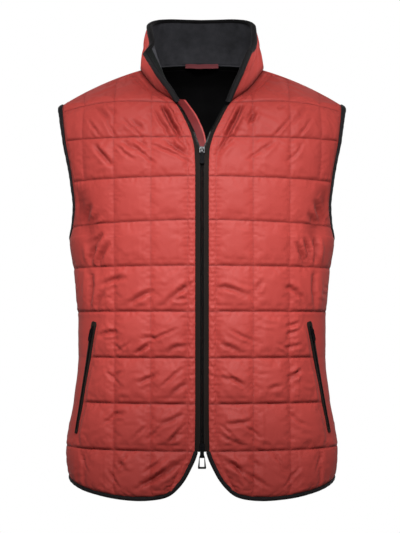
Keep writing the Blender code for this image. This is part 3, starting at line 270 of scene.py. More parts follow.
CREASES_L = [
    # name            x0      z0      x1      z1      x2      z2     half  depth  lip
    ("throat",        61.5,  -64.0,   48.5,  -90.0,   33.0, -119.0,  2.8,  3.6,  1.5),
    ("throat_low",    31.7, -104.5,   32.6, -123.5,   20.6, -139.0,  3.0,  2.0,  0.8),
    ("throat_side",   80.0,  -74.0,   75.5,  -84.0,   70.5,  -93.0,  2.8,  1.8,  0.8),
    ("throat_fan",    46.0, -118.0,   36.0, -131.0,   22.0, -147.0,  2.8,  1.3,  0.6),
    ("shoulder_a",   161.0,  -62.0,  150.0,  -76.0,  135.0,  -96.0,  3.2,  1.3,  0.5),
    ("chest_a",       86.1, -114.1,   83.0, -117.8,   80.1, -121.6,  2.6,  1.2,  0.4),
    ("chest_b",      142.3, -114.2,  135.8, -117.9,  130.5, -121.7,  2.8,  1.2,  0.4),
    ("chest_c",      125.0,  -62.5,  120.0,  -67.5,  114.0,  -70.5,  2.6,  1.1,  0.4),
    ("chest_d",      110.0, -120.0,   98.0, -131.0,   88.0, -142.0,  2.8,  1.1,  0.5),
    ("arm_a",        168.0, -206.0,  177.0, -222.0,  186.0, -240.0,  4.6,  1.3,  0.9),
    ("arm_b",        158.0, -224.0,  167.0, -236.0,  177.0, -248.0,  4.2,  1.1,  0.8),
    ("arm_c",        139.0, -270.0,  149.0, -289.0,  157.0, -308.0,  3.6,  2.3,  0.9),
    ("arm_d",        170.0, -264.0,  172.0, -284.0,  171.0, -305.0,  3.6,  2.1,  0.9),
    ("arm_e",        152.0, -264.0,  158.0, -282.0,  163.0, -301.0,  3.4,  1.8,  0.8),
    ("waist_a",       21.3, -344.0,   40.1, -341.8,   67.3, -355.5,  3.2,  1.8,  0.8),
    ("waist_b",      119.9, -342.1,  137.9, -344.4,  153.5, -369.4,  3.2,  1.8,  0.8),
    ("waist_c",       92.0, -330.0,   84.0, -338.0,   80.0, -350.0,  2.8,  1.1,  0.5),
    ("waist_d",      168.0, -318.0,  167.0, -340.0,  169.0, -368.0,  4.0,  1.6,  0.7),
    ("low_a",             24.4,  -424.6,    42.0,  -429.3,    56.9,  -441.1,  3.0,  1.7,  0.7),
    ("low_b",            124.0,  -400.0,   136.0,  -396.4,   146.0,  -394.1,  2.6,  1.4,  0.6),
    ("low_c",            124.0,  -412.7,   134.0,  -408.0,   144.0,  -405.7,  2.6,  1.5,  0.6),
    ("low_d",            122.0,  -433.6,   134.0,  -428.9,   147.0,  -426.6,  2.6,  1.5,  0.6),
    ("hip_a",            126.0,  -477.0,   138.0,  -470.2,   149.4,  -465.7,  2.7,  1.7,  0.7),
    ("hip_b",             24.5,  -472.7,    42.3,  -477.2,    65.1,  -486.3,  2.7,  1.5,  0.7),
    ("hip_c",             96.0,  -494.0,   106.0,  -489.0,   118.0,  -487.0,  2.6,  1.0,  0.5),
    ("hip_d",             23.2,  -558.6,    45.1,  -567.7,    56.4,  -575.9,  2.7,  1.5,  0.7),
    ("hip_e",             30.1,  -544.1,    54.7,  -541.8,    74.9,  -539.5,  2.7,  1.4,  0.7),
    ("hem_a",         71.5, -591.0,   76.8, -600.2,   84.7, -607.3,  2.8,  1.2,  0.4),
    ("hem_b",         28.0, -594.0,   48.0, -606.0,   70.0, -612.0,  3.2,  1.4,  0.6),
]
CREASES_BACK = [
    # name            x0      z0      x1      z1      x2      z2     half  depth  lip
    ("yoke_a",           -60.0,    -8.0,   -86.0,   -28.0,  -104.0,   -44.0,  3.4,  1.8,  0.7),
    ("yoke_b",            58.0,   -10.0,    80.0,   -26.0,    98.0,   -46.0,  3.4,  1.7,  0.7),
    ("yoke_c",          -150.0,   -70.0,  -140.0,   -88.0,  -120.0,  -108.0,  3.1,  1.7,  0.7),
    ("yoke_d",           156.0,   -74.0,   140.0,   -94.0,   124.0,  -106.0,  3.1,  1.7,  0.7),
    ("blade_a",     -104.0, -120.0,  -90.0, -136.0,  -70.0, -150.0,  3.2,  1.5,  0.6),
    ("blade_b",       60.0, -122.0,   74.0, -140.0,  100.0, -152.0,  3.2,  1.5,  0.6),
    ("blade_c",     -176.0, -186.0, -160.0, -200.0, -142.0, -206.0,  3.4,  1.9,  0.8),
    ("blade_d",      174.0, -190.0,  158.0, -206.0,  140.0, -220.0,  3.4,  1.9,  0.8),
    ("blade_e",      -40.0, -196.0,  -10.0, -206.0,   24.0, -202.0,  3.0,  1.1,  0.5),
    ("arm_a",       -178.0, -256.0, -160.0, -270.0, -138.0, -290.0,  3.6,  2.0,  0.9),
    ("arm_b",        180.0, -258.0,  160.0, -276.0,  146.0, -296.0,  3.6,  2.0,  0.9),
    ("waist_a",     -156.0, -322.0, -120.0, -340.0,  -84.0, -344.0,  3.4,  1.9,  0.9),
    ("waist_b",      158.0, -326.0,  128.0, -338.0,   92.0, -352.0,  3.4,  1.9,  0.9),
    ("waist_c",      -60.0, -356.0,  -20.0, -348.0,   30.0, -354.0,  3.2,  1.5,  0.7),
    ("waist_d",      -30.0, -330.0,    4.0, -324.0,   40.0, -332.0,  3.0,  1.2,  0.6),
    ("low_a",           -140.0,  -396.0,  -106.0,  -404.0,   -74.0,  -402.0,  3.0,  1.7,  0.7),
    ("low_b",             66.0,  -410.0,   104.0,  -418.0,   140.0,  -412.0,  3.0,  1.7,  0.7),
    ("low_c",            -36.0,  -430.0,     0.0,  -424.0,    34.0,  -432.0,  2.7,  1.3,  0.6),
    ("low_d",           -166.0,  -424.0,  -150.0,  -434.0,  -134.0,  -438.0,  2.7,  1.3,  0.6),
    ("hip_a",           -110.0,  -478.0,   -84.0,  -472.0,   -60.0,  -480.0,  2.7,  1.4,  0.6),
    ("hip_b",             30.0,  -486.0,    60.0,  -478.0,    96.0,  -484.0,  2.7,  1.5,  0.7),
    ("hip_c",            118.0,  -470.0,   140.0,  -462.0,   160.0,  -464.0,  2.6,  1.2,  0.5),
    ("seat_a",      -150.0, -548.0, -120.0, -556.0,  -92.0, -550.0,  3.0,  1.4,  0.7),
    ("seat_b",       -24.0, -538.0,   10.0, -546.0,   44.0, -540.0,  3.0,  1.3,  0.6),
    ("seat_c",        96.0, -560.0,  120.0, -554.0,  150.0, -562.0,  3.0,  1.3,  0.6),
    ("hem_a",       -120.0, -592.0, -108.0, -598.0,  -92.0, -600.0,  2.6,  1.0,  0.4),
    ("hem_b",         60.0, -590.0,   80.0, -596.0,   98.0, -597.0,  2.6,  1.0,  0.4),
]


CREASE_DEPTH = 1.95        # all creases together


# ------------------------------------------------------------------ surface functions
def column(table, key, index):
    """Smooth reading of one column of a table at many row numbers, without overshoot (PCHIP)."""
    xs = np.array([row[0] for row in table], float)
    ys = np.array([row[index] for row in table], float)
    h = np.diff(xs)
    d = np.diff(ys) / h
    m = np.zeros(len(xs))
    for i in range(1, len(xs) - 1):
        if d[i - 1] * d[i] > 0:
            w1, w2 = 2 * h[i] + h[i - 1], h[i] + 2 * h[i - 1]
            m[i] = (w1 + w2) / (w1 / d[i - 1] + w2 / d[i])
    m[0], m[-1] = d[0], d[-1]
    k = np.clip(np.asarray(key, float), xs[0], xs[-1])
    i = np.clip(np.searchsorted(xs, k) - 1, 0, len(h) - 1)
    t = (k - xs[i]) / h[i]
    return ((2 * t**3 - 3 * t**2 + 1) * ys[i] + (t**3 - 2 * t**2 + t) * h[i] * m[i]
            + (-2 * t**3 + 3 * t**2) * ys[i + 1] + (t**3 - t**2) * h[i] * m[i + 1])


def bezier(x0, y0, x1, y1, a0, a1, k0, k1, u):
    """Rows in plan, leaving at angle a0 and arriving at angle a1."""
    dx, dy = x1 - x0, np.abs(y1 - y0)
    h0 = k0 * dx
    h1 = k1 * (np.abs(dy * np.sin(a1)) + np.abs(dx * np.cos(a1)))
    cx0, cy0 = x0 + h0 * np.cos(a0), y0 + h0 * np.sin(a0)
    cx1, cy1 = x1 - h1 * np.cos(a1), y1 - h1 * np.sin(a1)
    v = 1.0 - u
    b0, b1, b2, b3 = v**3, 3 * v * v * u, 3 * v * u * u, u**3
    return b0 * x0 + b1 * cx0 + b2 * cx1 + b3 * x1, b0 * y0 + b1 * cy0 + b2 * cy1 + b3 * y1


def front_point(u, row, side):
    """Reference surface of a front panel; side is -1 for _r and +1 for _l."""
    u, row = np.broadcast_arrays(np.asarray(u, float), np.asarray(row, float))
    x0 = column(FRONT_EDGE, row, 1 if side < 0 else 2)
    y0, z0 = column(FRONT_EDGE, row, 3), column(FRONT_EDGE, row, 4)
    x1, y1, z1 = (column(FRONT_SIDE, row, i) for i in (1, 2, 3))
    y1 = y1 - SEAM_GAP / 2 * (row <= ARMPIT_ROW + 0.01)
    top = row >= 10.0 - 1e-9
    y0 = np.where(top, y0 - SEAM_GAP / 2, y0)
    y1 = np.where(top, y0, y1)
    turn = np.radians(column(FRONT_SIDE, row, 4))
    k0, k1, arch, early = (column(FRONT_ROW, row, i) for i in (1, 2, 3, 4))
    x, y = bezier(x0, y0, x1, y1, 0.0, turn, k0, k1, u)
    s = np.clip(u, 0.0, 1.0)
    crown = (early / 2) ** early * (1 - early / 2) ** (2 - early)
    z = z0 + (z1 - z0) * u + arch * s ** early * (1 - s) ** (2 - early) / crown
    return np.stack([side * x, y, z], -1)


def back_point(u, row):
    """Reference surface of the back; u runs from -1 at one side edge to +1 at the other."""
    u, row = np.broadcast_arrays(np.asarray(u, float), np.asarray(row, float))
    s, a = np.where(u < 0, -1.0, 1.0), np.abs(u)
    x1, y1, z1 = (column(BACK_SIDE, row, i) for i in (1, 2, 3))
    y0, z0 = column(CENTRE_BACK, row, 1), column(CENTRE_BACK, row, 2)
    y1 = y1 + SEAM_GAP / 2 * (row <= ARMPIT_ROW + 0.01)
    turn = np.radians(column(BACK_SIDE, row, 4))
    k0, k1, arch, early = (column(BACK_ROW, row, i) for i in (1, 2, 3, 4))
    x, y = bezier(np.zeros_like(u), y0, x1, y1, 0.0, -turn, k0, k1, a)
    z = z0 + (z1 - z0) * a * a * (3 - 2 * a) + arch * 4 * a * (1 - a)
    p = np.stack([x, y, z], -1)
    base = back_row_nine(a)
    top = np.stack([column(BACK_TOP, a, i) for i in (1, 2, 3)], -1)
    top[..., 1] += SEAM_GAP / 2
    t = np.clip(row - 9.0, 0.0, 1.0)[..., None]
    d = top - base
    m0 = d * np.array([1.0, 0.55, 1.5])
    m1 = d * np.array([1.0, 1.35, 0.60])
    up = ((2 * t**3 - 3 * t**2 + 1) * base + (t**3 - 2 * t**2 + t) * m0
          + (-2 * t**3 + 3 * t**2) * top + (t**3 - t**2) * m1)
    p = np.where((row > 9.0)[..., None], up, p)
    p[..., 0] *= s
    return p


def back_row_nine(a):
    y0, z0 = column(CENTRE_BACK, 9.0, 1), column(CENTRE_BACK, 9.0, 2)
    x1, y1, z1 = (column(BACK_SIDE, 9.0, i) for i in (1, 2, 3))
    turn = math.radians(float(column(BACK_SIDE, 9.0, 4)))
    x, y = bezier(0.0, y0, x1, y1, 0.0, -turn, 0.50, 0.42, a)
    z = z0 + (z1 - z0) * a * a * (3 - 2 * a) + 0.0040 * 4 * a * (1 - a)
    return np.stack([x, y, z], -1)


def unit(v):
    v = np.asarray(v, float)
    return v / np.maximum(np.linalg.norm(v, axis=-1, keepdims=True), 1e-12)


def normals(kind, point, u, row, lo, hi):
    """Unit normals by differences that stay inside the panel, out of the vest."""
    e = 1e-3
    u, row = np.broadcast_arrays(np.asarray(u, float), np.asarray(row, float))
    du = point(np.minimum(u + e, hi), row) - point(np.maximum(u - e, lo), row)
    dr = point(u, np.minimum(row + e, 10.0)) - point(u, np.maximum(row - e, 0.0))
    n = unit(np.cross(du, dr))
    p = point(u, row)
    out = np.stack([p[..., 0], p[..., 1] + (0.0 if kind == "back" else -0.02),
                    0.04 + 0.6 * np.maximum(0.0, row - 8.5)], -1)
    y = 0.05 if kind == "back" else -0.05
    high = np.stack([0.2 * p[..., 0], np.full(u.shape, y), np.ones(u.shape)], -1)
    out = np.where((row > 9.9)[..., None], high, out)
    n = np.where((np.sum(n * out, -1) < 0)[..., None], -n, n)
    seam = (np.abs(np.abs(u) - 1.0) < 1e-9) & (row <= ARMPIT_ROW + 0.005)
    seam |= (row >= 10.0 - 1e-9) & ((kind == "front") | (np.abs(u) >= 0.45 - 1e-9))
    flat = unit(n * np.array([1.0, 0.0, 1.0]))
    return np.where(seam[..., None], flat, n)


def pocket_free(x, z, side, gap=0.0035, soft=0.0080):
    """1 on the quilted cloth, 0 on the plain strip from the pocket zip to the side seam."""
    k = POCKET["r" if side < 0 else "l"]
    (x0, z0), (x1, z1) = k["top"], k["low"]
    t = np.clip((z0 - z) / (z0 - z1), 0.0, 1.0)
    line = x0 + (x1 - x0) * t - gap
    across = np.clip((line - np.abs(x)) / soft, 0.0, 1.0)
    over = np.clip((z - z0 - 0.004) / 0.014, 0.0, 1.0) + np.clip((z1 - 0.006 - z) / 0.014, 0.0, 1.0)
    m = np.maximum(across, np.minimum(over, 1.0))
    return m * m * (3 - 2 * m)


def waves(x, seed, lengths):
    """A smooth, irregular line of a few sine waves between -1 and 1."""
    rng = np.random.default_rng(seed)
    total = 0.0
    for n, length in enumerate(lengths):
        total = total + np.sin(2 * math.pi * x / length + rng.uniform(0, 2 * math.pi)) / (1 + 0.6 * n)
    return total / sum(1 / (1 + 0.6 * n) for n in range(len(lengths)))


# ------------------------------------------------------------------ mesh helpers
SCENE = bpy.context.scene
PIECES = bpy.data.collections.new("visual_pieces")
SCENE.collection.children.link(PIECES)


def mesh_object(name, verts, faces, mats, index=None, smooth=True, sharp=50):
    me = bpy.data.meshes.new(name)
    me.from_pydata([tuple(v) for v in np.asarray(verts, float)], [], [tuple(int(i) for i in f) for f in faces])
    ob = bpy.data.objects.new(name, me)
    PIECES.objects.link(ob)
    for m in mats:
        me.materials.append(m)
    if index is not None:
        me.polygons.foreach_set("material_index", np.asarray(index, np.int32))
    if smooth:
        me.shade_smooth()
        if sharp:
            me.set_sharp_from_angle(angle=math.radians(sharp))
    me.update()
    return ob


def grid_faces(rows, cols, start=0, flip=False, wrap=False):
    """Quads of a rows by cols grid of vertices."""
    i, j = np.meshgrid(np.arange(rows - 1), np.arange(cols if wrap else cols - 1), indexing="ij")
    k = (j + 1) % cols
    a, b = start + i * cols + j, start + i * cols + k
    c, d = start + (i + 1) * cols + k, start + (i + 1) * cols + j
    f = np.stack([a, b, c, d], -1).reshape(-1, 4)
    return f[:, ::-1] if flip else f


def rim(outer_index, inner_index, flip=False):
    """Quads between two equally long closed loops of vertex numbers."""
    n = len(outer_index)
    out = []
    for i in range(n):
        k = (i + 1) % n
        f = (outer_index[i], outer_index[k], inner_index[k], inner_index[i])
        out.append(f[::-1] if flip else f)
    return out


def loop_of(rows, cols, start=0, step_r=1, step_c=1):
    """Border of a grid as one loop of vertex numbers, counting every step_r-th and step_c-th vertex."""
    a = [start + j for j in range(0, cols, step_c)]
    b = [start + i * cols + cols - 1 for i in range(step_r, rows, step_r)]
    c = [start + (rows - 1) * cols + j for j in range(cols - 1 - step_c, -1, -step_c)]
    d = [start + i * cols for i in range(rows - 1 - step_r, 0, -step_r)]
    return a + b + c + d


def outward(ob):
    """Makes every closed shell of a mesh face outwards."""
    import bmesh
    bm = bmesh.new()
    bm.from_mesh(ob.data)
    bmesh.ops.recalc_face_normals(bm, faces=bm.faces)
    bm.to_mesh(ob.data)
    bm.free()
    ob.data.update()
    return ob


def catmull(values, factor, axis):
    """Smooth finer sampling of a grid along one axis, keeping every given value."""
    v = np.moveaxis(values, axis, 0)
    n = v.shape[0]
    t = np.arange((n - 1) * factor + 1) / factor
    i = np.minimum(t.astype(int), n - 2)
    f = (t - i).reshape((-1,) + (1,) * (v.ndim - 1))
    p0, p1, p2, p3 = v[np.maximum(i - 1, 0)], v[i], v[i + 1], v[np.minimum(i + 2, n - 1)]
    out = 0.5 * (2 * p1 + (p2 - p0) * f + (2 * p0 - 5 * p1 + 4 * p2 - p3) * f**2
                 + (3 * p1 - p0 - 3 * p2 + p3) * f**3)
    return np.moveaxis(out, 0, axis)


def finer(values, factor):
    """Straight finer sampling of a list of numbers."""
    values = np.asarray(values, float)
    t = np.arange((len(values) - 1) * factor + 1) / factor
    return np.interp(t, np.arange(len(values)), values)


# ------------------------------------------------------------------ materials
def node_material(name, roughness=0.5, metallic=0.0, sheen=0.0, sheen_rough=0.4, specular=0.5, coat=0.0):
    m = bpy.data.materials.new(name)
    m.use_nodes = True
    nt = m.node_tree
    b = nt.nodes["Principled BSDF"]
    b.inputs["Roughness"].default_value = roughness
    b.inputs["Metallic"].default_value = metallic
    b.inputs["Sheen Weight"].default_value = sheen
    b.inputs["Sheen Roughness"].default_value = sheen_rough
    b.inputs["Specular IOR Level"].default_value = specular
    b.inputs["Coat Weight"].default_value = coat
    return m, nt, b


def link(nt, a, b):
    nt.links.new(a, b)


def add(nt, kind, **values):
    n = nt.nodes.new(kind)
    for k, v in values.items():
        if k in n.inputs:
            n.inputs[k].default_value = v
        else:
            setattr(n, k, v)
    return n


def noise(nt, coords, scale, detail=3.0, rough=0.5, stretch=None):
    n = nt.nodes.new("ShaderNodeTexNoise")
    n.inputs["Scale"].default_value = scale
    n.inputs["Detail"].default_value = detail
    n.inputs["Roughness"].default_value = rough
    if stretch:
        mp = nt.nodes.new("ShaderNodeMapping")
        mp.inputs["Scale"].default_value = stretch
        link(nt, coords, mp.inputs["Vector"])
        coords = mp.outputs["Vector"]
    link(nt, coords, n.inputs["Vector"])
    return n.outputs["Fac"]


def wave(nt, coords, scale, direction, distortion=0.0):
    n = nt.nodes.new("ShaderNodeTexWave")
    n.bands_direction = direction
    n.inputs["Scale"].default_value = scale
    n.inputs["Distortion"].default_value = distortion
    n.inputs["Detail"].default_value = 1.0
    link(nt, coords, n.inputs["Vector"])
    return n.outputs["Fac"]


def ramp(nt, fac, stops):
    n = nt.nodes.new("ShaderNodeValToRGB")
    cr = n.color_ramp
    while len(cr.elements) < len(stops):
        cr.elements.new(0.5)
    for e, (pos, col) in zip(cr.elements, stops):
        e.position = pos
        e.color = (*col, 1.0)
    link(nt, fac, n.inputs["Fac"])
    return n.outputs["Color"]


def maths(nt, op, a, b=None):
    n = nt.nodes.new("ShaderNodeMath")
    n.operation = op
    for i, v in enumerate((a, b)):
        if v is None:
            continue
        if isinstance(v, (int, float)):
            n.inputs[i].default_value = v
        else:
            link(nt, v, n.inputs[i])
    return n.outputs["Value"]


def bump(nt, height, strength, distance, below=None):
    n = nt.nodes.new("ShaderNodeBump")
    n.inputs["Strength"].default_value = strength
    n.inputs["Distance"].default_value = distance
    link(nt, height, n.inputs["Height"])
    if below is not None:
        link(nt, below, n.inputs["Normal"])
    return n.outputs["Normal"]


def cloth_material(name, dark, light, roughness, weave=2600.0, weave_depth=0.00006, crinkle=0.0, crinkle_scale=110.0,
                   sheen=0.0, specular=0.4, blotch=9.0, rough_span=0.06, sheen_tint=None, painted_shade=False):
    """Woven cloth: slow colour variation, a fine over-and-under weave and soft crinkles in the bump."""
    m, nt, b = node_material(name, roughness, 0.0, sheen, 0.35, specular)
    if sheen_tint is not None:
        b.inputs["Sheen Tint"].default_value = (*sheen_tint, 1.0)
    co = nt.nodes.new("ShaderNodeTexCoord").outputs["Object"]
    slow = noise(nt, co, blotch, 4.0, 0.55)
    colour = ramp(nt, slow, [(0.25, dark), (0.75, light)])
    # painted shade: the mesh attribute seam multiplies the colour darker along stitched grooves, in creases and at the
    # collar's foot
    if painted_shade:
        at = nt.nodes.new("ShaderNodeAttribute")
        at.attribute_name = "seam"
        mixer = nt.nodes.new("ShaderNodeMixRGB")
        mixer.blend_type = "MULTIPLY"
        mixer.inputs["Color2"].default_value = (0.42, 0.34, 0.34, 1.0)
        link(nt, at.outputs["Fac"], mixer.inputs["Fac"])
        link(nt, colour, mixer.inputs["Color1"])
        colour = mixer.outputs["Color"]
    link(nt, colour, b.inputs["Base Color"])
    patch = noise(nt, co, blotch * 6.0, 3.0, 0.5)
    rough = nt.nodes.new("ShaderNodeMapRange")
    rough.inputs["To Min"].default_value = roughness - rough_span
    rough.inputs["To Max"].default_value = roughness + rough_span
    link(nt, patch, rough.inputs["Value"])
    link(nt, rough.outputs["Result"], b.inputs["Roughness"])
    over = maths(nt, "MULTIPLY", wave(nt, co, weave, "Z"), wave(nt, co, weave, "X"))
    normal = None
    if crinkle:
        normal = bump(nt, noise(nt, co, crinkle_scale, 4.0, 0.6), 1.0, crinkle)
    normal = bump(nt, over, 0.5, weave_depth, normal)
    link(nt, normal, b.inputs["Normal"])
    return m


# the red nylon takes painted shade from the attribute seam
RED = cloth_material("red_nylon", (0.475, 0.053, 0.044), (0.530, 0.064, 0.053), 0.58, crinkle=0.00016, crinkle_scale=130.0,
                     sheen=0.07, specular=0.26, sheen_tint=(1.0, 0.72, 0.68), painted_shade=True)
# a lighter, sheenier copy of the red: painted highlight on edges that catch the light
RED_LIT_EDGE = cloth_material("red_nylon_painted_highlight", (0.500, 0.060, 0.055), (0.570, 0.085, 0.078), 0.50, crinkle=0.0004,
                          crinkle_scale=140.0, sheen=0.4, specular=0.45, sheen_tint=(1.0, 0.75, 0.72))
# a darker copy of the red: painted shade on the wind flap, which sits back behind the zip
RED_FLAP_SHADED = cloth_material("red_flap_painted_shade", (0.150, 0.011, 0.013), (0.265, 0.022, 0.024), 0.56, crinkle=0.0003,
                          sheen=0.08, specular=0.25, sheen_tint=(1.0, 0.72, 0.68))
THREAD_RED = cloth_material("red_thread", (0.36, 0.030, 0.030), (0.46, 0.045, 0.042), 0.6, weave=4200.0, weave_depth=0.0001,
                            sheen=0.2, specular=0.3)
LINING = cloth_material("black_lining_cloth", (0.0030, 0.0028, 0.0032), (0.0062, 0.0058, 0.0064), 0.60, crinkle=0.0005,
                        crinkle_scale=70.0, sheen=0.0, specular=0.10)
BINDING = cloth_material("black_binding_cloth", (0.009, 0.008, 0.009), (0.017, 0.015, 0.016), 0.66, weave=1700.0,
                         weave_depth=0.00016, crinkle=0.00025, crinkle_scale=160.0, sheen=0.08, specular=0.18)
THREAD_BLACK = cloth_material("black_thread", (0.014, 0.014, 0.016), (0.030, 0.029, 0.032), 0.55, weave=4200.0,
                              weave_depth=0.0001, sheen=0.3, specular=0.35)
TAPE = cloth_material("zip_tape_cloth", (0.011, 0.0075, 0.0062), (0.022, 0.0140, 0.0112), 0.70, weave=1500.0,
                      weave_depth=0.00018, sheen=0.05, specular=0.14)
LOOP = cloth_material("loop_cloth", (0.290, 0.064, 0.074), (0.440, 0.096, 0.112), 0.6, weave=1500.0, weave_depth=0.0002,
                      sheen=0.3, specular=0.3)


def knit_material(name, dark, light, sheen):
    """Brushed knit: rows of small stitches under a short nap."""
    m, nt, b = node_material(name, 0.9, 0.0, sheen, 0.5, 0.12)
    b.inputs["Sheen Tint"].default_value = (0.62, 0.62, 0.66, 1.0)
    co = nt.nodes.new("ShaderNodeTexCoord").outputs["Object"]
    slow = noise(nt, co, 30.0, 5.0, 0.65)
    link(nt, ramp(nt, slow, [(0.3, dark), (0.72, light)]), b.inputs["Base Color"])
    ribs = maths(nt, "MULTIPLY", wave(nt, co, 420.0, "X", 1.0), wave(nt, co, 520.0, "Z", 1.0))
    nap = noise(nt, co, 900.0, 4.0, 0.7)
    n1 = bump(nt, ribs, 0.7, 0.00035)
    link(nt, bump(nt, nap, 0.6, 0.0003, n1), b.inputs["Normal"])
    return m


KNIT = knit_material("charcoal_knit", (0.062, 0.062, 0.070), (0.128, 0.127, 0.144), 0.12)
FACING = knit_material("dark_knit_facing", (0.014, 0.0155, 0.0145), (0.028, 0.031, 0.029), 0.03)


def metal_material(name, base, light, roughness, metallic, specular=0.4):
    """Dark plated metal, worn brighter in patches."""
    m, nt, b = node_material(name, roughness, metallic, specular=specular)
    co = nt.nodes.new("ShaderNodeTexCoord").outputs["Object"]
    wear = noise(nt, co, 420.0, 4.0, 0.6)
    link(nt, ramp(nt, wear, [(0.35, base), (0.72, light)]), b.inputs["Base Color"])
    r = nt.nodes.new("ShaderNodeMapRange")
    r.inputs["To Min"].default_value = roughness - 0.08
    r.inputs["To Max"].default_value = roughness + 0.12
    link(nt, noise(nt, co, 900.0, 3.0), r.inputs["Value"])
    link(nt, r.outputs["Result"], b.inputs["Roughness"])
    link(nt, bump(nt, noise(nt, co, 1500.0, 3.0), 0.3, 0.00004), b.inputs["Normal"])
    return m


METAL = metal_material("dark_nickel", (0.0035, 0.0035, 0.0042), (0.009, 0.009, 0.0105), 0.66, 0.0, 0.08)
# a lighter copy of the nickel: painted glint on the top slider
METAL_GLINT = metal_material("nickel_painted_glint", (0.03, 0.03, 0.032), (0.14, 0.14, 0.145), 0.46, 0.95)
# a lighter, shinier coil: painted glint on the open turns above the slider
COIL_GLINT = metal_material("coil_painted_glint", (0.03, 0.032, 0.030), (0.20, 0.20, 0.20), 0.45, 0.4)
COIL, _nt, _b = node_material("coil_nylon", 0.46, 0.0, 0.0, 0.4, 0.12)
_co = _nt.nodes.new("ShaderNodeTexCoord").outputs["Object"]
link(_nt, ramp(_nt, noise(_nt, _co, 300.0), [(0.3, (0.0020, 0.0023, 0.0026)), (0.7, (0.0070, 0.0078, 0.0084))]),
     _b.inputs["Base Color"])
link(_nt, bump(_nt, noise(_nt, _co, 2500.0), 0.3, 0.00003), _b.inputs["Normal"])


# ------------------------------------------------------------------ quilted panels
STEPS = 16                 # rows of the simulated grid in one quilt channel


def panel_rows():
    rows = np.arange(0, 10 * STEPS + 1) / STEPS
    rows[np.argmin(np.abs(rows - ARMPIT_ROW))] = ARMPIT_ROW
    return rows


FRONT_SPANS = (5, 14, 14, 14, 13)      # columns in each span between vertical lines
BACK_SPANS = (12, 12, 12, 13)


def arc_columns(kind, side, rows, parts):
    """Parameter u of every grid point, so that columns follow the vertical stitch lines.

    parts is how many times finer than the simulated grid; returns u, the arc distance from the
    centre plane, and the arc distance of each vertical line, by row.
    """
    fine = np.linspace(0.0, 1.0, 241)
    point = (lambda u, r: front_point(u, r, side)) if kind == "front" else back_point
    pts = point(fine[None, :], rows[:, None])
    step = np.linalg.norm(np.diff(pts, axis=1), axis=2)
    arc = np.concatenate([np.zeros((len(rows), 1)), np.cumsum(step, 1)], 1)
    start = np.abs(pts[:, 0, 0])
    arc += start[:, None]
    end = arc[:, -1]
    if kind == "front":
        knots = [start, start + TOPSTITCH]
        lines, spans = FRONT_LINES, FRONT_SPANS
    else:
        knots = [start * 0.0]
        lines, spans = BACK_LINES, BACK_SPANS
    for n, line in enumerate(lines):
        room = 0.008 * (len(lines) - n)
        knots.append(np.minimum(np.maximum(line, knots[-1] + 0.006), end - room))
    knots.append(end)
    knots = np.array(knots)
    S = [knots[0]]
    for k, n in enumerate(spans):
        for q in range(1, n * parts + 1):
            S.append(knots[k] + (knots[k + 1] - knots[k]) * q / (n * parts))
    S = np.array(S).T
    U = np.empty_like(S)
    for i in range(len(rows)):
        U[i] = np.interp(S[i], arc[i], fine)
    U[:, 0], U[:, -1] = 0.0, 1.0
    return U, S, knots


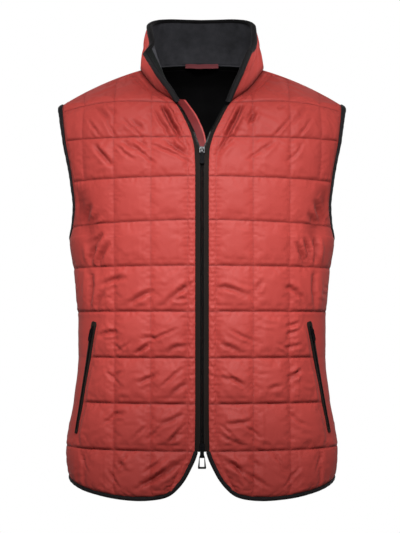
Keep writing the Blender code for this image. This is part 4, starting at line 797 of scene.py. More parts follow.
class Quilt:
    """Grid of one quilted panel; parts_r and parts_c say how much finer than the simulated grid."""

    def __init__(self, kind, side=0, parts_r=1, parts_c=1):
        self.kind, self.side = kind, side
        self.r = finer(panel_rows(), parts_r)
        U, S, K = arc_columns(kind, side, self.r, parts_c)
        if kind == "back":
            U = np.concatenate([-U[:, :0:-1], U], 1)
            S = np.concatenate([-S[:, :0:-1], S], 1)
            self.point = back_point
            self.lines = [(-1, k) for k in (3, 2, 1)] + [(1, k) for k in (0, 1, 2, 3)]
        else:
            self.point = lambda u, r: front_point(u, r, side)
        self.U, self.S, self.K = U, S, K
        self.R = np.broadcast_to(self.r[:, None], U.shape)
        lo = -1.0 if kind == "back" else 0.0
        self.P = self.point(U, self.R)
        self.N = normals(kind, self.point, U, self.R, lo, 1.0)
        if kind == "back":
            self.knots = [(s * self.K[k], VERTICAL) for k in (1, 2, 3) for s in (-1, 1)] + [(self.K[0], VERTICAL)]
        else:
            third = np.interp(self.r, [t[0] for t in THIRD_LINE], [t[1] for t in THIRD_LINE])
            one = np.ones(len(self.r))
            self.knots = [(self.K[1], one), (self.K[2], one * VERTICAL), (self.K[3], one * VERTICAL), (self.K[4], third)]

    def free(self):
        if self.kind == "back":
            return np.ones(self.U.shape)
        return pocket_free(self.P[..., 0], self.P[..., 2], self.side)

    def cell(self):
        """Height of the quilted cells between 0 and 1: 0 on stitched lines and edges."""
        f = self.R - np.floor(self.R + 1e-9)
        # steep where a cell hangs over the line below it, gentle where it leaves the line above
        h = f ** 0.45 * np.clip(1 - f, 0, 1) ** 0.75 / 0.452
        for at, strength in self.knots:
            d = np.abs(self.S - np.asarray(at)[:, None])
            groove = 1.0 - np.clip(d / 0.013, 0, 1)
            h = h * (1 - np.asarray(strength).reshape(-1, 1) * groove ** 2.2)
        if self.kind == "front":
            strip = self.S <= self.K[1][:, None] + 1e-9
            h = np.where(strip, 0.36 * np.sin(math.pi * np.clip((self.S - self.K[0][:, None])
                         / (self.K[1] - self.K[0])[:, None], 0, 1)) ** 0.7 * np.clip(h * 3 + 0.12, 0, 1), h)
        end = self.K[-1][:, None]
        edge = np.clip((end - np.abs(self.S)) / 0.012, 0, 1)
        h = h * (edge * (2 - edge)) ** 0.8
        # the side seams hold the quilting down, so that the sides stay nearly straight
        h = h * (1 - 0.50 * np.clip(1 - (end - np.abs(self.S)) / 0.075, 0, 1) ** 0.7 * np.clip((6.3 - self.R) / 0.6, 0, 1))
        top = np.clip((10.0 - self.R) / 0.14, 0, 1)
        low = np.clip(self.R / 0.12, 0, 1)
        return h * (top * (2 - top)) ** 0.8 * (low * (2 - low)) ** 0.8

    def pinned(self):
        """True on stitched lines, edges and the plain strip beside a pocket."""
        f = np.abs(self.R - np.round(self.R))
        pin = f < 1e-6
        for at, strength in self.knots:
            near = np.abs(self.S - np.asarray(at)[:, None]) < 1e-6
            pin |= near & (np.broadcast_to(np.asarray(strength).reshape(-1, 1), near.shape) > 0.5)
        pin[0], pin[-1], pin[:, 0], pin[:, -1] = True, True, True, True
        pin |= self.free() < 0.04
        return pin


def simulate(quilts, frames=20, pressure=4.0, grow=0.022):
    """Swells the cells between their stitched lines with Blender's cloth; returns the moved points."""
    objects = []
    for q in quilts:
        start = q.P + q.N * (STITCH_LIFT + PUFF * 0.80 * q.cell() * q.free())[..., None]
        rows, cols = start.shape[:2]
        faces = grid_faces(rows, cols)
        me = bpy.data.meshes.new("swell")
        me.from_pydata([tuple(v) for v in start.reshape(-1, 3)], [], [tuple(int(i) for i in f) for f in faces])
        me.update()
        flat_n = q.N.reshape(-1, 3)
        vn = np.zeros(len(me.vertices) * 3)
        me.vertices.foreach_get("normal", vn)
        if np.sum(vn.reshape(-1, 3) * flat_n) < 0:
            me.flip_normals()
        ob = bpy.data.objects.new("swell", me)
        SCENE.collection.objects.link(ob)
        vg = ob.vertex_groups.new(name="pin")
        idx = np.nonzero(q.pinned().reshape(-1))[0]
        vg.add([int(i) for i in idx], 1.0, "REPLACE")
        md = ob.modifiers.new("Cloth", "CLOTH")
        s = md.settings
        s.quality = 6
        s.mass = 0.15
        s.air_damping = 2.0
        s.tension_stiffness = s.compression_stiffness = 12.0
        s.shear_stiffness = 4.0
        s.bending_stiffness = 0.35
        s.tension_damping = s.compression_damping = s.shear_damping = 8.0
        s.vertex_group_mass = "pin"
        s.pin_stiffness = 1.0
        s.use_pressure = True
        s.uniform_pressure_force = pressure
        s.shrink_min = -grow
        s.effector_weights.gravity = 0.0
        md.collision_settings.use_collision = False
        md.collision_settings.use_self_collision = False
        md.point_cache.frame_start = 1
        md.point_cache.frame_end = frames + 1
        objects.append((ob, me, md))
    for f in range(1, frames + 1):
        SCENE.frame_set(f)
    dg = bpy.context.evaluated_depsgraph_get()
    out = []
    for (ob, me, md), q in zip(objects, quilts):
        ev = ob.evaluated_get(dg).data
        co = np.zeros(len(ev.vertices) * 3)
        ev.vertices.foreach_get("co", co)
        out.append(co.reshape(q.P.shape))
    for ob, me, md in objects:
        bpy.data.objects.remove(ob)
        bpy.data.meshes.remove(me)
    SCENE.frame_set(1)
    return out


def crease_field(quilt, table):
    """Sum of the listed creases on a fine grid, in metres along the normal."""
    P, N = quilt.P, quilt.N
    flat = P.reshape(-1, 3)
    xz = flat[:, [0, 2]]
    front = quilt.kind == "front"
    lift = np.zeros(len(flat))
    for row in table:
        name, nums = row[0], np.array(row[1:], float) / 1000.0
        a, b, c = nums[0:2], nums[2:4], nums[4:6]
        half, depth, lip = nums[6] * 1.15, nums[7] * CREASE_DEPTH, nums[8] * CREASE_DEPTH * 0.8
        t = np.linspace(0, 1, 17)[:, None]
        ctrl = 2 * b - (a + c) / 2
        line = (1 - t) ** 2 * a + 2 * t * (1 - t) * ctrl + t ** 2 * c
        idx = [int(np.argmin(((xz - q) ** 2).sum(1))) for q in line]
        pts = flat[idx]
        reach = half * 5.5
        lo, hi = pts.min(0) - reach, pts.max(0) + reach
        near = np.nonzero(np.all((flat > lo) & (flat < hi), axis=1))[0]
        if not len(near):
            continue
        q = flat[near]
        best = np.full(len(near), 9.0)
        along = np.zeros(len(near))
        sign = np.zeros(len(near))
        seg = np.diff(pts, axis=0)
        total = len(seg)
        for k in range(total):
            L2 = max(float(seg[k] @ seg[k]), 1e-12)
            w = np.clip(((q - pts[k]) @ seg[k]) / L2, 0, 1)
            d = q - pts[k] - w[:, None] * seg[k]
            dist = np.linalg.norm(d, axis=1)
            closer = dist < best
            best = np.where(closer, dist, best)
            along = np.where(closer, (k + w) / total, along)
            side_dir = np.cross(N.reshape(-1, 3)[near], seg[k] / math.sqrt(L2))
            s = np.sum(d * side_dir, 1)
            sign = np.where(closer, np.sign(s), sign)
        taper = np.clip(np.sin(math.pi * np.clip(along, 0.0, 1.0)), 0, 1) ** 0.8
        beyond = np.where((along <= 1e-6) | (along >= 1 - 1e-6), 0.0, 1.0)
        trough = -depth * np.exp(-(best / half) ** 2)
        up = lip * np.exp(-((best - 2.0 * half) / (1.1 * half)) ** 2) * np.where(sign > 0, 1.25, 0.75)
        lift[near] += (trough + up) * taper * beyond
    return lift.reshape(P.shape[:2])


# Broad folds that both skins of a front follow: three points (x, z), half width, depth (negative is a ridge).
FOLDS_R = [
    ("throat",       -61.5,  -62.0,  -48.5,  -88.0,  -31.0, -120.0,  2.8,  6.0,  2.0),
    ("neck_foot",    -88.0,  -24.0,  -72.0,  -40.0,  -54.0,  -52.0,  5.0,  3.4,  0.0),
    ("arm_hollow",  -190.0, -188.0, -180.0, -222.0, -166.0, -264.0, 15.0,  5.4,  0.0),
    ("arm_low",     -172.0, -248.0, -164.0, -276.0, -166.0, -310.0, 12.0,  4.0,  0.0),
    ("arm_ridge_b", -176.0, -272.0, -175.0, -288.0, -174.0, -306.0,  4.4, -2.2,  0.0),
    ("arm_ridge_c", -146.0, -272.0, -157.0, -290.0, -162.0, -307.0,  3.8, -2.2,  0.0),
    ("waist_fold",  -170.0, -312.0, -166.0, -344.0, -170.0, -380.0,  5.0,  2.4,  0.0),
    ("waist_ridge", -180.0, -312.0, -177.0, -340.0, -179.0, -374.0,  4.4, -2.0,  0.0),
    ("yoke_a",           -76.2,   -66.3,   -60.0,   -96.0,   -41.1,  -127.0,  2.0,  3.1,  1.3),
    ("yoke_b",          -121.5,   -83.5,  -104.0,  -101.0,   -85.1,  -121.2,  2.0,  2.6,  1.1),
    ("yoke_c",          -172.4,   -84.5,  -163.0,   -98.0,  -150.8,  -114.2,  2.0,  2.4,  0.9),
    ("yoke_d",          -148.4,   -79.1,  -139.0,   -98.0,  -126.8,  -119.6,  2.1,  2.2,  0.9),
    ("bust_a",          -107.5,  -122.8,   -90.0,  -139.0,   -68.4,  -157.9,  2.0,  2.7,  1.1),
    ("bust_b",           -82.4,  -123.2,   -50.0,  -138.0,   -12.2,  -156.9,  1.9,  2.5,  1.1),
    ("bust_c",          -129.5,  -124.5,  -116.0,  -138.0,   -98.5,  -150.2,  1.9,  2.2,  0.9),
    ("bust_d",          -161.5,  -120.4,  -148.0,  -142.0,  -131.8,  -160.9,  2.4,  1.9,  0.7),
    ("hip_a",           -101.0,  -641.9,   -70.0,  -623.0,   -37.6,  -597.4,  2.5,  3.3,  1.4),
    ("hip_b",            -88.2,  -619.5,   -72.0,  -606.0,   -53.1,  -592.5,  2.0,  2.6,  1.1),
    ("hip_c",           -140.1,  -610.5,  -132.0,  -624.0,  -119.8,  -640.2,  2.0,  2.6,  1.1),
    ("hip_d",           -183.4,  -583.8,  -178.0,  -600.0,  -169.9,  -616.2,  2.1,  2.4,  0.9),
    ("hip_e",           -111.2,  -583.8,  -118.0,  -600.0,  -128.8,  -616.2,  2.1,  2.4,  0.9),
    ("low_a",            -50.5,  -570.9,   -37.0,  -556.0,   -20.8,  -538.5,  2.0,  2.6,  1.1),
    ("low_b",            -81.2,  -565.8,   -69.0,  -555.0,   -54.1,  -542.9,  1.9,  2.4,  1.1),
    ("low_c",           -125.2,  -524.5,  -136.0,  -538.0,  -149.5,  -548.8,  2.1,  2.2,  0.9),
    ("low_d",           -102.8,  -569.5,   -92.0,  -556.0,   -81.2,  -546.5,  1.9,  1.9,  0.7),
    ("mid_a",            -61.9,  -489.5,   -47.0,  -476.0,   -28.1,  -459.8,  2.0,  2.6,  1.1),
    ("mid_b",            -75.9,  -419.1,   -57.0,  -411.0,   -34.0,  -400.2,  2.0,  2.4,  1.1),
    ("mid_c",            -96.5,  -440.4,   -87.0,  -431.0,   -74.8,  -421.6,  1.9,  2.4,  1.1),
    ("mid_d",           -131.5,  -437.8,  -118.0,  -431.0,  -104.5,  -421.6,  2.0,  2.2,  0.9),
    ("mid_e",           -142.8,  -462.5,  -132.0,  -476.0,  -115.8,  -489.5,  2.1,  1.9,  0.7),
]
FOLDS_L = [
    ("throat",        61.5,  -62.0,   48.5,  -90.0,   32.0, -121.0,  2.8,  6.0,  2.0),
    ("throat_b",      81.0,  -70.0,   76.0,  -84.0,   69.5,  -97.0,  2.4,  3.2,  1.2),
    ("neck_foot",     88.0,  -24.0,   73.0,  -38.0,   60.0,  -50.0,  5.0,  3.4,  0.0),
    ("arm_hollow",   190.0, -186.0,  180.0, -222.0,  164.0, -264.0, 15.0,  5.6,  0.0),
    ("arm_low",      172.0, -246.0,  164.0, -278.0,  166.0, -310.0, 12.0,  4.0,  0.0),
    ("arm_ridge_b",  178.0, -262.0,  180.0, -284.0,  179.0, -306.0,  4.4, -2.2,  0.0),
    ("arm_ridge_c",  161.0, -262.0,  165.5, -284.0,  167.0, -306.0,  3.8, -2.0,  0.0),
    ("waist_fold",   172.0, -312.0,  167.0, -344.0,  171.0, -380.0,  5.0,  2.4,  0.0),
    ("waist_ridge",  181.0, -312.0,  178.0, -340.0,  180.0, -374.0,  4.4, -2.0,  0.0),
    ("yoke_a",            79.8,   -62.1,    73.0,   -77.0,    64.9,   -93.2,  1.9,  2.8,  1.1),
    ("yoke_b",            58.9,   -79.6,    40.0,  -112.0,    19.8,  -144.4,  2.0,  3.0,  1.1),
    ("yoke_c",           135.8,   -79.1,   121.0,   -98.0,   103.5,  -116.9,  2.0,  2.2,  0.9),
    ("yoke_d",           166.8,   -81.8,   156.0,   -98.0,   143.8,  -114.2,  2.0,  2.2,  0.9),
    ("bust_a",           102.9,  -121.8,    84.0,  -138.0,    65.1,  -151.5,  1.9,  1.9,  0.7),
    ("bust_b",           153.2,  -119.1,   141.0,  -138.0,   123.5,  -154.2,  2.1,  1.8,  0.5),
    ("hip_a",            104.4,  -641.2,    72.0,  -621.0,    35.5,  -600.8,  2.5,  3.0,  1.3),
    ("hip_b",             64.8,  -633.6,    54.0,  -612.0,    35.1,  -593.1,  2.0,  2.6,  1.1),
    ("hip_c",            144.8,  -608.5,   134.0,  -622.0,   120.5,  -638.2,  2.0,  2.4,  1.1),
    ("hip_d",            181.8,  -585.8,   175.0,  -602.0,   165.6,  -618.2,  2.1,  2.2,  0.9),
    ("hip_e",            105.9,  -583.8,   114.0,  -600.0,   124.8,  -613.5,  2.1,  2.2,  0.9),
    ("low_a",             53.5,  -569.9,    40.0,  -555.0,    22.4,  -540.1,  2.0,  2.4,  1.1),
    ("low_b",             87.5,  -567.5,    74.0,  -554.0,    57.8,  -544.5,  1.9,  2.2,  0.9),
    ("low_c",            126.8,  -521.8,   139.0,  -538.0,   152.5,  -548.8,  2.1,  2.2,  0.9),
    ("mid_a",             64.2,  -491.9,    48.0,  -477.0,    29.1,  -462.1,  2.0,  2.4,  1.1),
    ("mid_b",             81.6,  -422.4,    60.0,  -413.0,    38.4,  -400.9,  2.0,  2.2,  0.9),
    ("mid_c",            135.5,  -440.8,   122.0,  -430.0,   108.5,  -421.9,  2.0,  1.9,  0.7),
    ("mid_d",            146.8,  -460.1,   136.0,  -475.0,   119.8,  -487.1,  2.1,  1.9,  0.7),
]
FOLDS_BACK = [
    ("arm_hollow_r", -190.0, -206.0, -180.0, -232.0, -168.0, -264.0, 13.0,  4.2,  0.0),
    ("arm_hollow_l",  190.0, -208.0,  181.0, -232.0,  168.0, -262.0, 13.0,  4.2,  0.0),
    ("arm_ridge_r",  -176.0, -258.0, -168.0, -280.0, -160.0, -306.0,  4.6, -2.4,  0.0),
    ("arm_ridge_l",   176.0, -256.0,  167.0, -280.0,  162.0, -306.0,  4.6, -2.2,  0.0),
    ("waist_r",      -170.0, -314.0, -165.0, -344.0, -170.0, -378.0,  5.0,  2.4,  0.0),
    ("waist_l",       172.0, -314.0,  166.0, -344.0,  171.0, -376.0,  5.0,  2.4,  0.0),
]


def puckers(quilt, seed):
    """Small gathers across the stitched lines: short ribs every 5 to 7 mm, and softer ones along the rows."""
    P, S, R = quilt.P, quilt.S, quilt.R
    z = P[..., 2]
    total = np.zeros(z.shape)
    for n, (at, strength) in enumerate(quilt.knots):
        at = np.asarray(at)[:, None] * np.ones_like(S)
        d = np.abs(S - at)
        line_z = z
        phase = 2 * math.pi * line_z / 0.0056 + 1.8 * waves(line_z, seed + 17 * n, (0.041, 0.023, 0.067))
        lean = 0.35 * d / 0.006
        amp = 0.55 + 0.45 * waves(line_z, seed + 5 + 17 * n, (0.057, 0.031, 0.013))
        if quilt.kind == "front" and n == 0:
            # the strip along the zip is ribbed right across, and a little way beyond its topstitching
            ribs = 2 * math.pi * line_z / 0.0066 + 1.1 * waves(line_z, seed + 3, (0.058, 0.037))
            k = np.where(S <= at, np.sin(math.pi * np.clip((S - quilt.K[0][:, None]) / TOPSTITCH, 0.02, 0.98)) ** 0.5 * 0.85,
                         np.exp(-(d / 0.0062) ** 2)) * np.clip(d / 0.0009 + 0.25, 0, 1)
            total += 0.00034 * (0.7 + 0.3 * amp) * k * np.cos(ribs + 0.25 * d / 0.006)
            continue
        width, depth = 0.0066, 0.00034
        grow = np.clip(d / 0.0012, 0, 1)
        k = np.exp(-(d / width) ** 2) * grow
        total += depth * amp * k * np.cos(phase + lean) * np.asarray(strength).reshape(-1, 1)
        # soft bulges on both sides of a crossing, just above the row
        f = R - np.floor(R + 1e-9)
        total += 0.00050 * np.exp(-((f - 0.16) / 0.07) ** 2) * np.exp(-((d - 0.007) / 0.0045) ** 2) \
            * np.asarray(strength).reshape(-1, 1)
    # slanting wrinkles that rise towards the front edge, in loose patches, mostly in the fuller cells
    out = np.abs(S)
    much = np.interp(R[:, 0], [0.0, 1.0, 4.6, 5.2, 7.0, 7.6, 9.0, 10.0], [0.9, 1.0, 1.0, 0.35, 0.25, 0.75, 0.75, 0.4])[:, None]
    cell_no = np.floor(R + 1e-9)
    angle = 0.50 + 0.25 * waves(cell_no * 0.37 + np.floor(out / 0.058) * 0.71, seed + 33, (1.7, 0.9))
    slant = (z * np.cos(angle) + out * np.sin(angle)) / 0.0135
    patch = np.clip(0.15 + waves(out + 0.7 * z, seed + 34, (0.071, 0.043)) + 0.8 * waves(z - 0.4 * out, seed + 35, (0.061, 0.037)), 0, 1)
    total += 0.00046 * much * patch * np.cos(2 * math.pi * slant + 2.0 * waves(out - z, seed + 36, (0.083, 0.052)) + 2.1 * cell_no)
    f = R - np.round(R)
    span = 0.068 * np.abs(f)
    near_line = np.exp(-(span / 0.010) ** 2) * np.clip(span / 0.0016, 0, 1)
    for side_of in (-1, 1):
        here = (f * side_of > 0) | (f == 0)
        idx = np.round(R) * 2 + (side_of > 0)
        ph = 2 * math.pi * S / 0.0105 + 2.4 * waves(S + 0.37 * idx, seed + 91, (0.046, 0.027, 0.091)) + 1.7 * idx
        am = np.clip(0.35 + 0.75 * waves(S - 0.21 * idx, seed + 92, (0.083, 0.049, 0.019)), 0, 1)
        total += np.where(here, 0.00042 * am * near_line * np.cos(ph), 0.0)
    return total


def slow_swell(quilt, seed):
    """Uneven filling: no two cells stand equally high, and their faces roll a little."""
    S, R, P = quilt.S, quilt.R, quilt.P
    rng = np.random.default_rng(seed)
    a = rng.uniform(-1, 1, (14, 14))
    ci = np.clip((S + 0.30) / 0.056, 0, 12.999)
    ri = np.clip(R, 0, 9.999)
    i, j = ri.astype(int), ci.astype(int)
    per_cell = a[i, j]
    roll = waves(P[..., 0] + 0.6 * P[..., 2], seed + 3, (0.061, 0.034, 0.021)) \
        * waves(P[..., 2] - 0.3 * P[..., 0], seed + 4, (0.043, 0.027, 0.019))
    return 1.0 + 0.10 * per_cell + 0.13 * roll


def build_panel(name, node, kind, side, coarse, moved, parts_r, parts_c, table, seed):
    """Fine outer skin from the swollen grid, a quilted inner skin, and the wall between them."""
    fine = Quilt(kind, side, parts_r, parts_c)
    D = moved - coarse.P
    out = np.sum(D * coarse.N, -1)
    tangent = D - coarse.N * out[..., None]
    size = np.linalg.norm(tangent, axis=-1, keepdims=True)
    tangent *= np.minimum(1.0, 0.0030 / np.maximum(size, 1e-9))
    out = np.clip(out, -0.0002, 0.0068)
    out = np.where(out > 0.0050, 0.0050 + 0.0018 * np.tanh((out - 0.0050) / 0.0018), out)
    out = catmull(catmull(out, parts_r, 0), parts_c, 1)
    tangent = catmull(catmull(tangent, parts_r, 0), parts_c, 1)
    free = fine.free()
    hold = np.clip(fine.cell() * 1.6, 0, 1) ** 0.8
    creases = crease_field(fine, table)
    creases = creases * np.clip(hold * 1.25, 0, 1)
    gather = puckers(fine, seed)
    full = np.interp(fine.r, [k[0] for k in FULLNESS], [k[1] for k in FULLNESS])[:, None]
    own = PUFF * 1.10 * fine.cell()
    h = (0.50 * (out - STITCH_LIFT) + 0.50 * own) * full * slow_swell(fine, seed + 50) * (0.35 + 0.65 * free)
    h *= 1 - 0.42 * np.clip(1 - (fine.K[-1][:, None] - np.abs(fine.S)) / 0.075, 0, 1) ** 0.7 * np.clip((6.3 - fine.R) / 0.6, 0, 1)
    floor = np.where(free > 0.5, -0.0013, -0.0001)
    h = np.maximum(h + (creases + gather) * free, floor)
    # the plain strip by a pocket keeps a slight slackness of its own
    h += (1 - free) * 0.0002 * waves(fine.P[..., 2], seed + 7, (0.045, 0.028, 0.017))
    # near the panel's own edges the cloth is held down by what is sewn on them
    ends = fine.K[-1][:, None] - np.abs(fine.S)
    held = np.clip(ends / 0.006, 0, 1) * np.clip(fine.R / 0.05, 0, 1) * np.clip((10 - fine.R) / 0.06, 0, 1)
    if kind == "front":
        corner = np.clip((fine.S - fine.K[0][:, None]) / 0.0055, 0, 1)
        held = held * np.where(fine.R < 1.1, corner, 1.0)
    h = h * held
    # broad folds bend the whole wall; they die out towards whatever is sewn on
    broad = crease_field(fine, FOLDS_BACK if kind == "back" else FOLDS_R if side < 0 else FOLDS_L) / (CREASE_DEPTH * 1.0)
    folded = broad * free
    calm = np.clip(ends / 0.016, 0, 1) * np.clip((fine.S - fine.K[0][:, None]) / 0.010, 0, 1) if kind == "front" \
        else np.clip(ends / 0.016, 0, 1)
    calm = calm * calm * (3 - 2 * calm) * np.clip((10 - fine.R) / 0.5, 0, 1) * (0.4 + 0.6 * np.clip(np.abs(fine.R - np.round(fine.R)) / 0.08, 0, 1))
    broad = broad * calm * free
    X = fine.P + tangent * free[..., None] * held[..., None] + fine.N * (STITCH_LIFT + h + broad)[..., None]
    rows, cols = X.shape[:2]
    Y = fine.P[::parts_r, ::parts_c]
    YN = fine.N[::parts_r, ::parts_c]
    inner_lift = 0.0008 * coarse.cell() * coarse.free()
    Y = Y - YN * (WALL + inner_lift - broad[::parts_r, ::parts_c])[..., None]
    # the side and shoulder seams close up: each panel comes almost halfway over the gap
    far = [-1 if abs(fine.S[0, -1]) > abs(fine.S[0, 0]) else 0] if kind == "front" else [0, -1]
    for skin in (X, Y):
        for e in far:
            skin[:, e] += unit(skin[:, e] - skin[:, 1 if e == 0 else -2]) * (0.46 * SEAM_GAP)
        skin[-1] += unit(skin[-1] - skin[-2]) * (0.46 * SEAM_GAP)
    ir, ic = Y.shape[:2]
    verts = np.concatenate([X.reshape(-1, 3), Y.reshape(-1, 3)])
    faces = [tuple(f) for f in grid_faces(rows, cols)]
    mats = [0] * len(faces)
    base = rows * cols
    inner = [tuple(f) for f in grid_faces(ir, ic, base, flip=True)]
    faces += inner
    mats += [1] * len(inner)
    # wall: the outer border is finer than the inner one, so each inner step meets several outer ones
    lo, li = loop_of(rows, cols), loop_of(ir, ic, base)
    marks = loop_of(rows, cols, 0, parts_r, parts_c)
    where = {v: n for n, v in enumerate(lo)}
    for n, v in enumerate(marks):
        w = marks[(n + 1) % len(marks)]
        a, b = where[v], where[w]
        if b <= a:
            b += len(lo)
        ring = [lo[q % len(lo)] for q in range(a, b + 1)]
        faces.append(tuple(ring[::-1]) + (li[n], li[(n + 1) % len(li)]))
        mats.append(1)
    ob = mesh_object(name, verts, faces, [RED, LINING], mats, sharp=0)
    outward(ob)
    sharp_rim(ob, set(lo) | set(li))
    # how close each point is to a stitched line: painted shade along the stitched grooves, together with the dark
    # needle holes, carried in the attribute seam
    uneven = 0.80 + 0.20 * waves(fine.P[..., 0] + 1.7 * fine.R, seed + 61, (0.049, 0.021, 0.033))
    seam = np.where((fine.R > 0.5) & (fine.R < 9.5), np.exp(-(np.abs(fine.R - np.round(fine.R)) * 0.068 / 0.0012) ** 2), 0.0) * uneven
    for n, (at, strength) in enumerate(fine.knots):
        near = np.exp(-((fine.S - np.asarray(at)[:, None]) / 0.0012) ** 2) * np.asarray(strength).reshape(-1, 1)
        broken = 0.62 + 0.38 * waves(fine.P[..., 2] + 0.05 * n, seed + 71 + n, (0.031, 0.013, 0.019))
        seam = np.maximum(seam, near * broken * (0.24 if kind == "front" and n == 0 else 0.62))
    if kind == "front":
        lined = pocket_free(fine.P[..., 0], fine.P[..., 2], side, 0.0, 0.0012)
        # painted shade where the collar is sewn on
        neck = np.clip((fine.R - 9.0) / 0.12, 0, 1) * np.exp(-((fine.S - fine.K[0][:, None]) / 0.0050) ** 2)
    else:
        # on the back: painted shade where the collar is sewn on
        lined, neck = free, np.clip((fine.R - 9.93) / 0.07, 0, 1) * (np.abs(fine.U) < 0.46)
    # painted shade in the creases and folds, darker where they run deeper
    crease_shade = np.clip(-(creases * free + 0.40 * broad + 0.50 * folded) / 0.0040, 0, 1) ** 1.2 * 0.54
    seam = np.maximum(np.maximum(seam * lined * held, neck * 0.9), 0.0)
    seam = 1 - (1 - seam) * (1 - crease_shade)
    seam = np.concatenate([seam.reshape(-1), np.zeros(ir * ic)])
    # the attribute seam holds painted shade: the red is multiplied darker by it
    mark = ob.data.attributes.new("seam", "FLOAT", "POINT")
    mark.data.foreach_set("value", seam.astype(np.float32))
    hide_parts(node)
    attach(ob, "vest")
    return ob, fine, X


def sharp_rim(ob, border):
    """Keeps a wall's cut edge crisp while both skins stay smooth."""
    me = ob.data
    n = len(me.edges)
    ends = np.zeros(n * 2, np.int32)
    me.edges.foreach_get("vertices", ends)
    ends = ends.reshape(-1, 2)
    mark = np.isin(ends, np.array(sorted(border))).all(1)
    attr = me.attributes.get("sharp_edge") or me.attributes.new("sharp_edge", "BOOLEAN", "EDGE")
    attr.data.foreach_set("value", mark)


coarse_r, coarse_l, coarse_b = Quilt("front", -1), Quilt("front", 1), Quilt("back")
swollen = simulate([coarse_r, coarse_l, coarse_b])
SHELL_R, FINE_R, SKIN_R = build_panel("shell_front_r", "front_r", "front", -1, coarse_r, swollen[0], 3, 2, CREASES_R, 11)
SHELL_L, FINE_L, SKIN_L = build_panel("shell_front_l", "front_l", "front", 1, coarse_l, swollen[1], 3, 2, CREASES_L, 23)
SHELL_B, FINE_B, SKIN_B = build_panel("shell_back", "back", "back", 0, coarse_b, swollen[2], 2, 2, CREASES_BACK, 37)

# ------------------------------------------------------------------ flat sizes of the cloth
FLAT = {}


def declare_sheet(ob, width, length, area=None):
    FLAT[ob.name] = (width, length, area)


def grid_area(P):
    a = np.linalg.norm(np.cross(P[1:, 1:] - P[:-1, :-1], P[1:, :-1] - P[:-1, 1:]), axis=-1) / 2
    return float(a.sum())


def path_length(pts):
    return float(np.linalg.norm(np.diff(np.asarray(pts), axis=0), axis=1).sum())


for _ob, _q, _w, _l in ((SHELL_R, coarse_r, 0.275, 0.650), (SHELL_L, coarse_l, 0.275, 0.650), (SHELL_B, coarse_b, 0.545, 0.665)):
    declare_sheet(_ob, _w, _l, area=round(min(grid_area(_q.P), _w * _l * 0.98), 4))


# ------------------------------------------------------------------ swept strips and stitching
def smooth_path(v, passes, closed):
    v = np.array(v, float)
    for _ in range(passes):
        if closed:
            v = (np.roll(v, 1, 0) + 2 * v + np.roll(v, -1, 0)) / 4
        else:
            v[1:-1] = (v[:-2] + 2 * v[1:-1] + v[2:]) / 4
    return v


def sweep(name, rings, mat, closed=False, sharp=55):
    """A closed skin swept through rings of equal length."""
    rings = np.asarray(rings, float)
    count, n = rings.shape[:2]
    verts = rings.reshape(-1, 3)
    faces = []
    for i in range(count if closed else count - 1):
        a, b = i * n, ((i + 1) % count) * n
        for j in range(n):
            k = (j + 1) % n
            faces.append((a + j, a + k, b + k, b + j))
    if not closed:
        faces.append(tuple(range(n - 1, -1, -1)))
        faces.append(tuple(range((count - 1) * n, count * n)))
    return outward(mesh_object(name, verts, faces, [mat], sharp=sharp))


def path_frames(pts, nrm, away, closed, passes=3):
    """Tangent, normal and in-cloth outward direction along an edge."""
    pts = np.asarray(pts, float)
    if closed:
        t = np.roll(pts, -1, 0) - np.roll(pts, 1, 0)
    else:
        t = np.gradient(pts, axis=0)
    t = unit(smooth_path(unit(t), passes, closed))
    n = smooth_path(nrm, passes, closed)
    n = unit(n - t * np.sum(n * t, -1, keepdims=True))
    a = np.cross(t, n)
    a = np.where((np.sum(a * away, -1) < 0)[:, None], -a, a)
    a = unit(smooth_path(a, passes, closed))
    return t, n, a


def arc_of(pts, closed=False):
    d = np.linalg.norm(np.diff(pts, axis=0), axis=1)
    return np.concatenate([[0.0], np.cumsum(d)])


def folded_section(width, over, above, below, gap=0.0004):
    """Half-folded binding round a cloth edge at 0: (away, up) pairs of its closed outline."""
    lip = 0.0005
    return [(gap, above - 0.0011), (-over, above - 0.0011), (-over - 0.0002, above - 0.0003), (-over + 0.0004, above - lip + 0.0001),
            (0.0010, above), (width * 0.38, above + 0.0003), (width * 0.72, above - 0.0001), (width * 0.93, above - 0.0012),
            (width, (above - below) / 2), (width * 0.95, -below + 0.0011), (width * 0.72, -below + 0.0001),
            (width * 0.35, -below - 0.0002), (0.0010, -below), (-over, -below + 0.0002), (-over, -below + 0.0006), (gap, -below + 0.0007)]


def binding(name, node, pts, nrm, away, width, closed, seed, above=0.0021, below=0.0034, over=0.0009, passes=3,
            flat_width=None):
    pts = np.asarray(pts, float)
    t, n, a = path_frames(pts, nrm, np.asarray(away, float), closed, passes)
    s = arc_of(pts)
    total = s[-1]
    near = lambda v: v * 2 * math.pi / total * np.round(total / v) / (2 * math.pi) if closed else v
    w = width * (1 + 0.05 * waves(s, seed, (total / 9, total / 14, total / 23)))
    rings = []
    for i in range(len(pts)):
        ripple = 0.00022 * math.sin(2 * math.pi * s[i] / (total / round(total / 0.0135)) + 1.3 * math.sin(s[i] * 61))
        ring = []
        for q, (x, y) in enumerate(folded_section(float(w[i]), over, above, below)):
            up = ripple * max(0.0, min(1.0, x / width * 2)) * (1.0 if y > 0 else 0.6)
            ring.append(pts[i] + a[i] * x + n[i] * (y + up))
        rings.append(ring)
    ob = sweep(name, rings, BINDING, closed)
    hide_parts(node)
    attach(ob, "vest")
    length = total + (np.linalg.norm(pts[0] - pts[-1]) if closed else 0)
    declare_sheet(ob, flat_width or round(width * 2.0 + 0.0006, 4), round(float(length), 3))
    row = pts + a * 0.0009 + n * (above + 0.00012)
    if closed:
        row = np.concatenate([row, row[:1]])
        n = np.concatenate([n, n[:1]])
    return ob, row, n


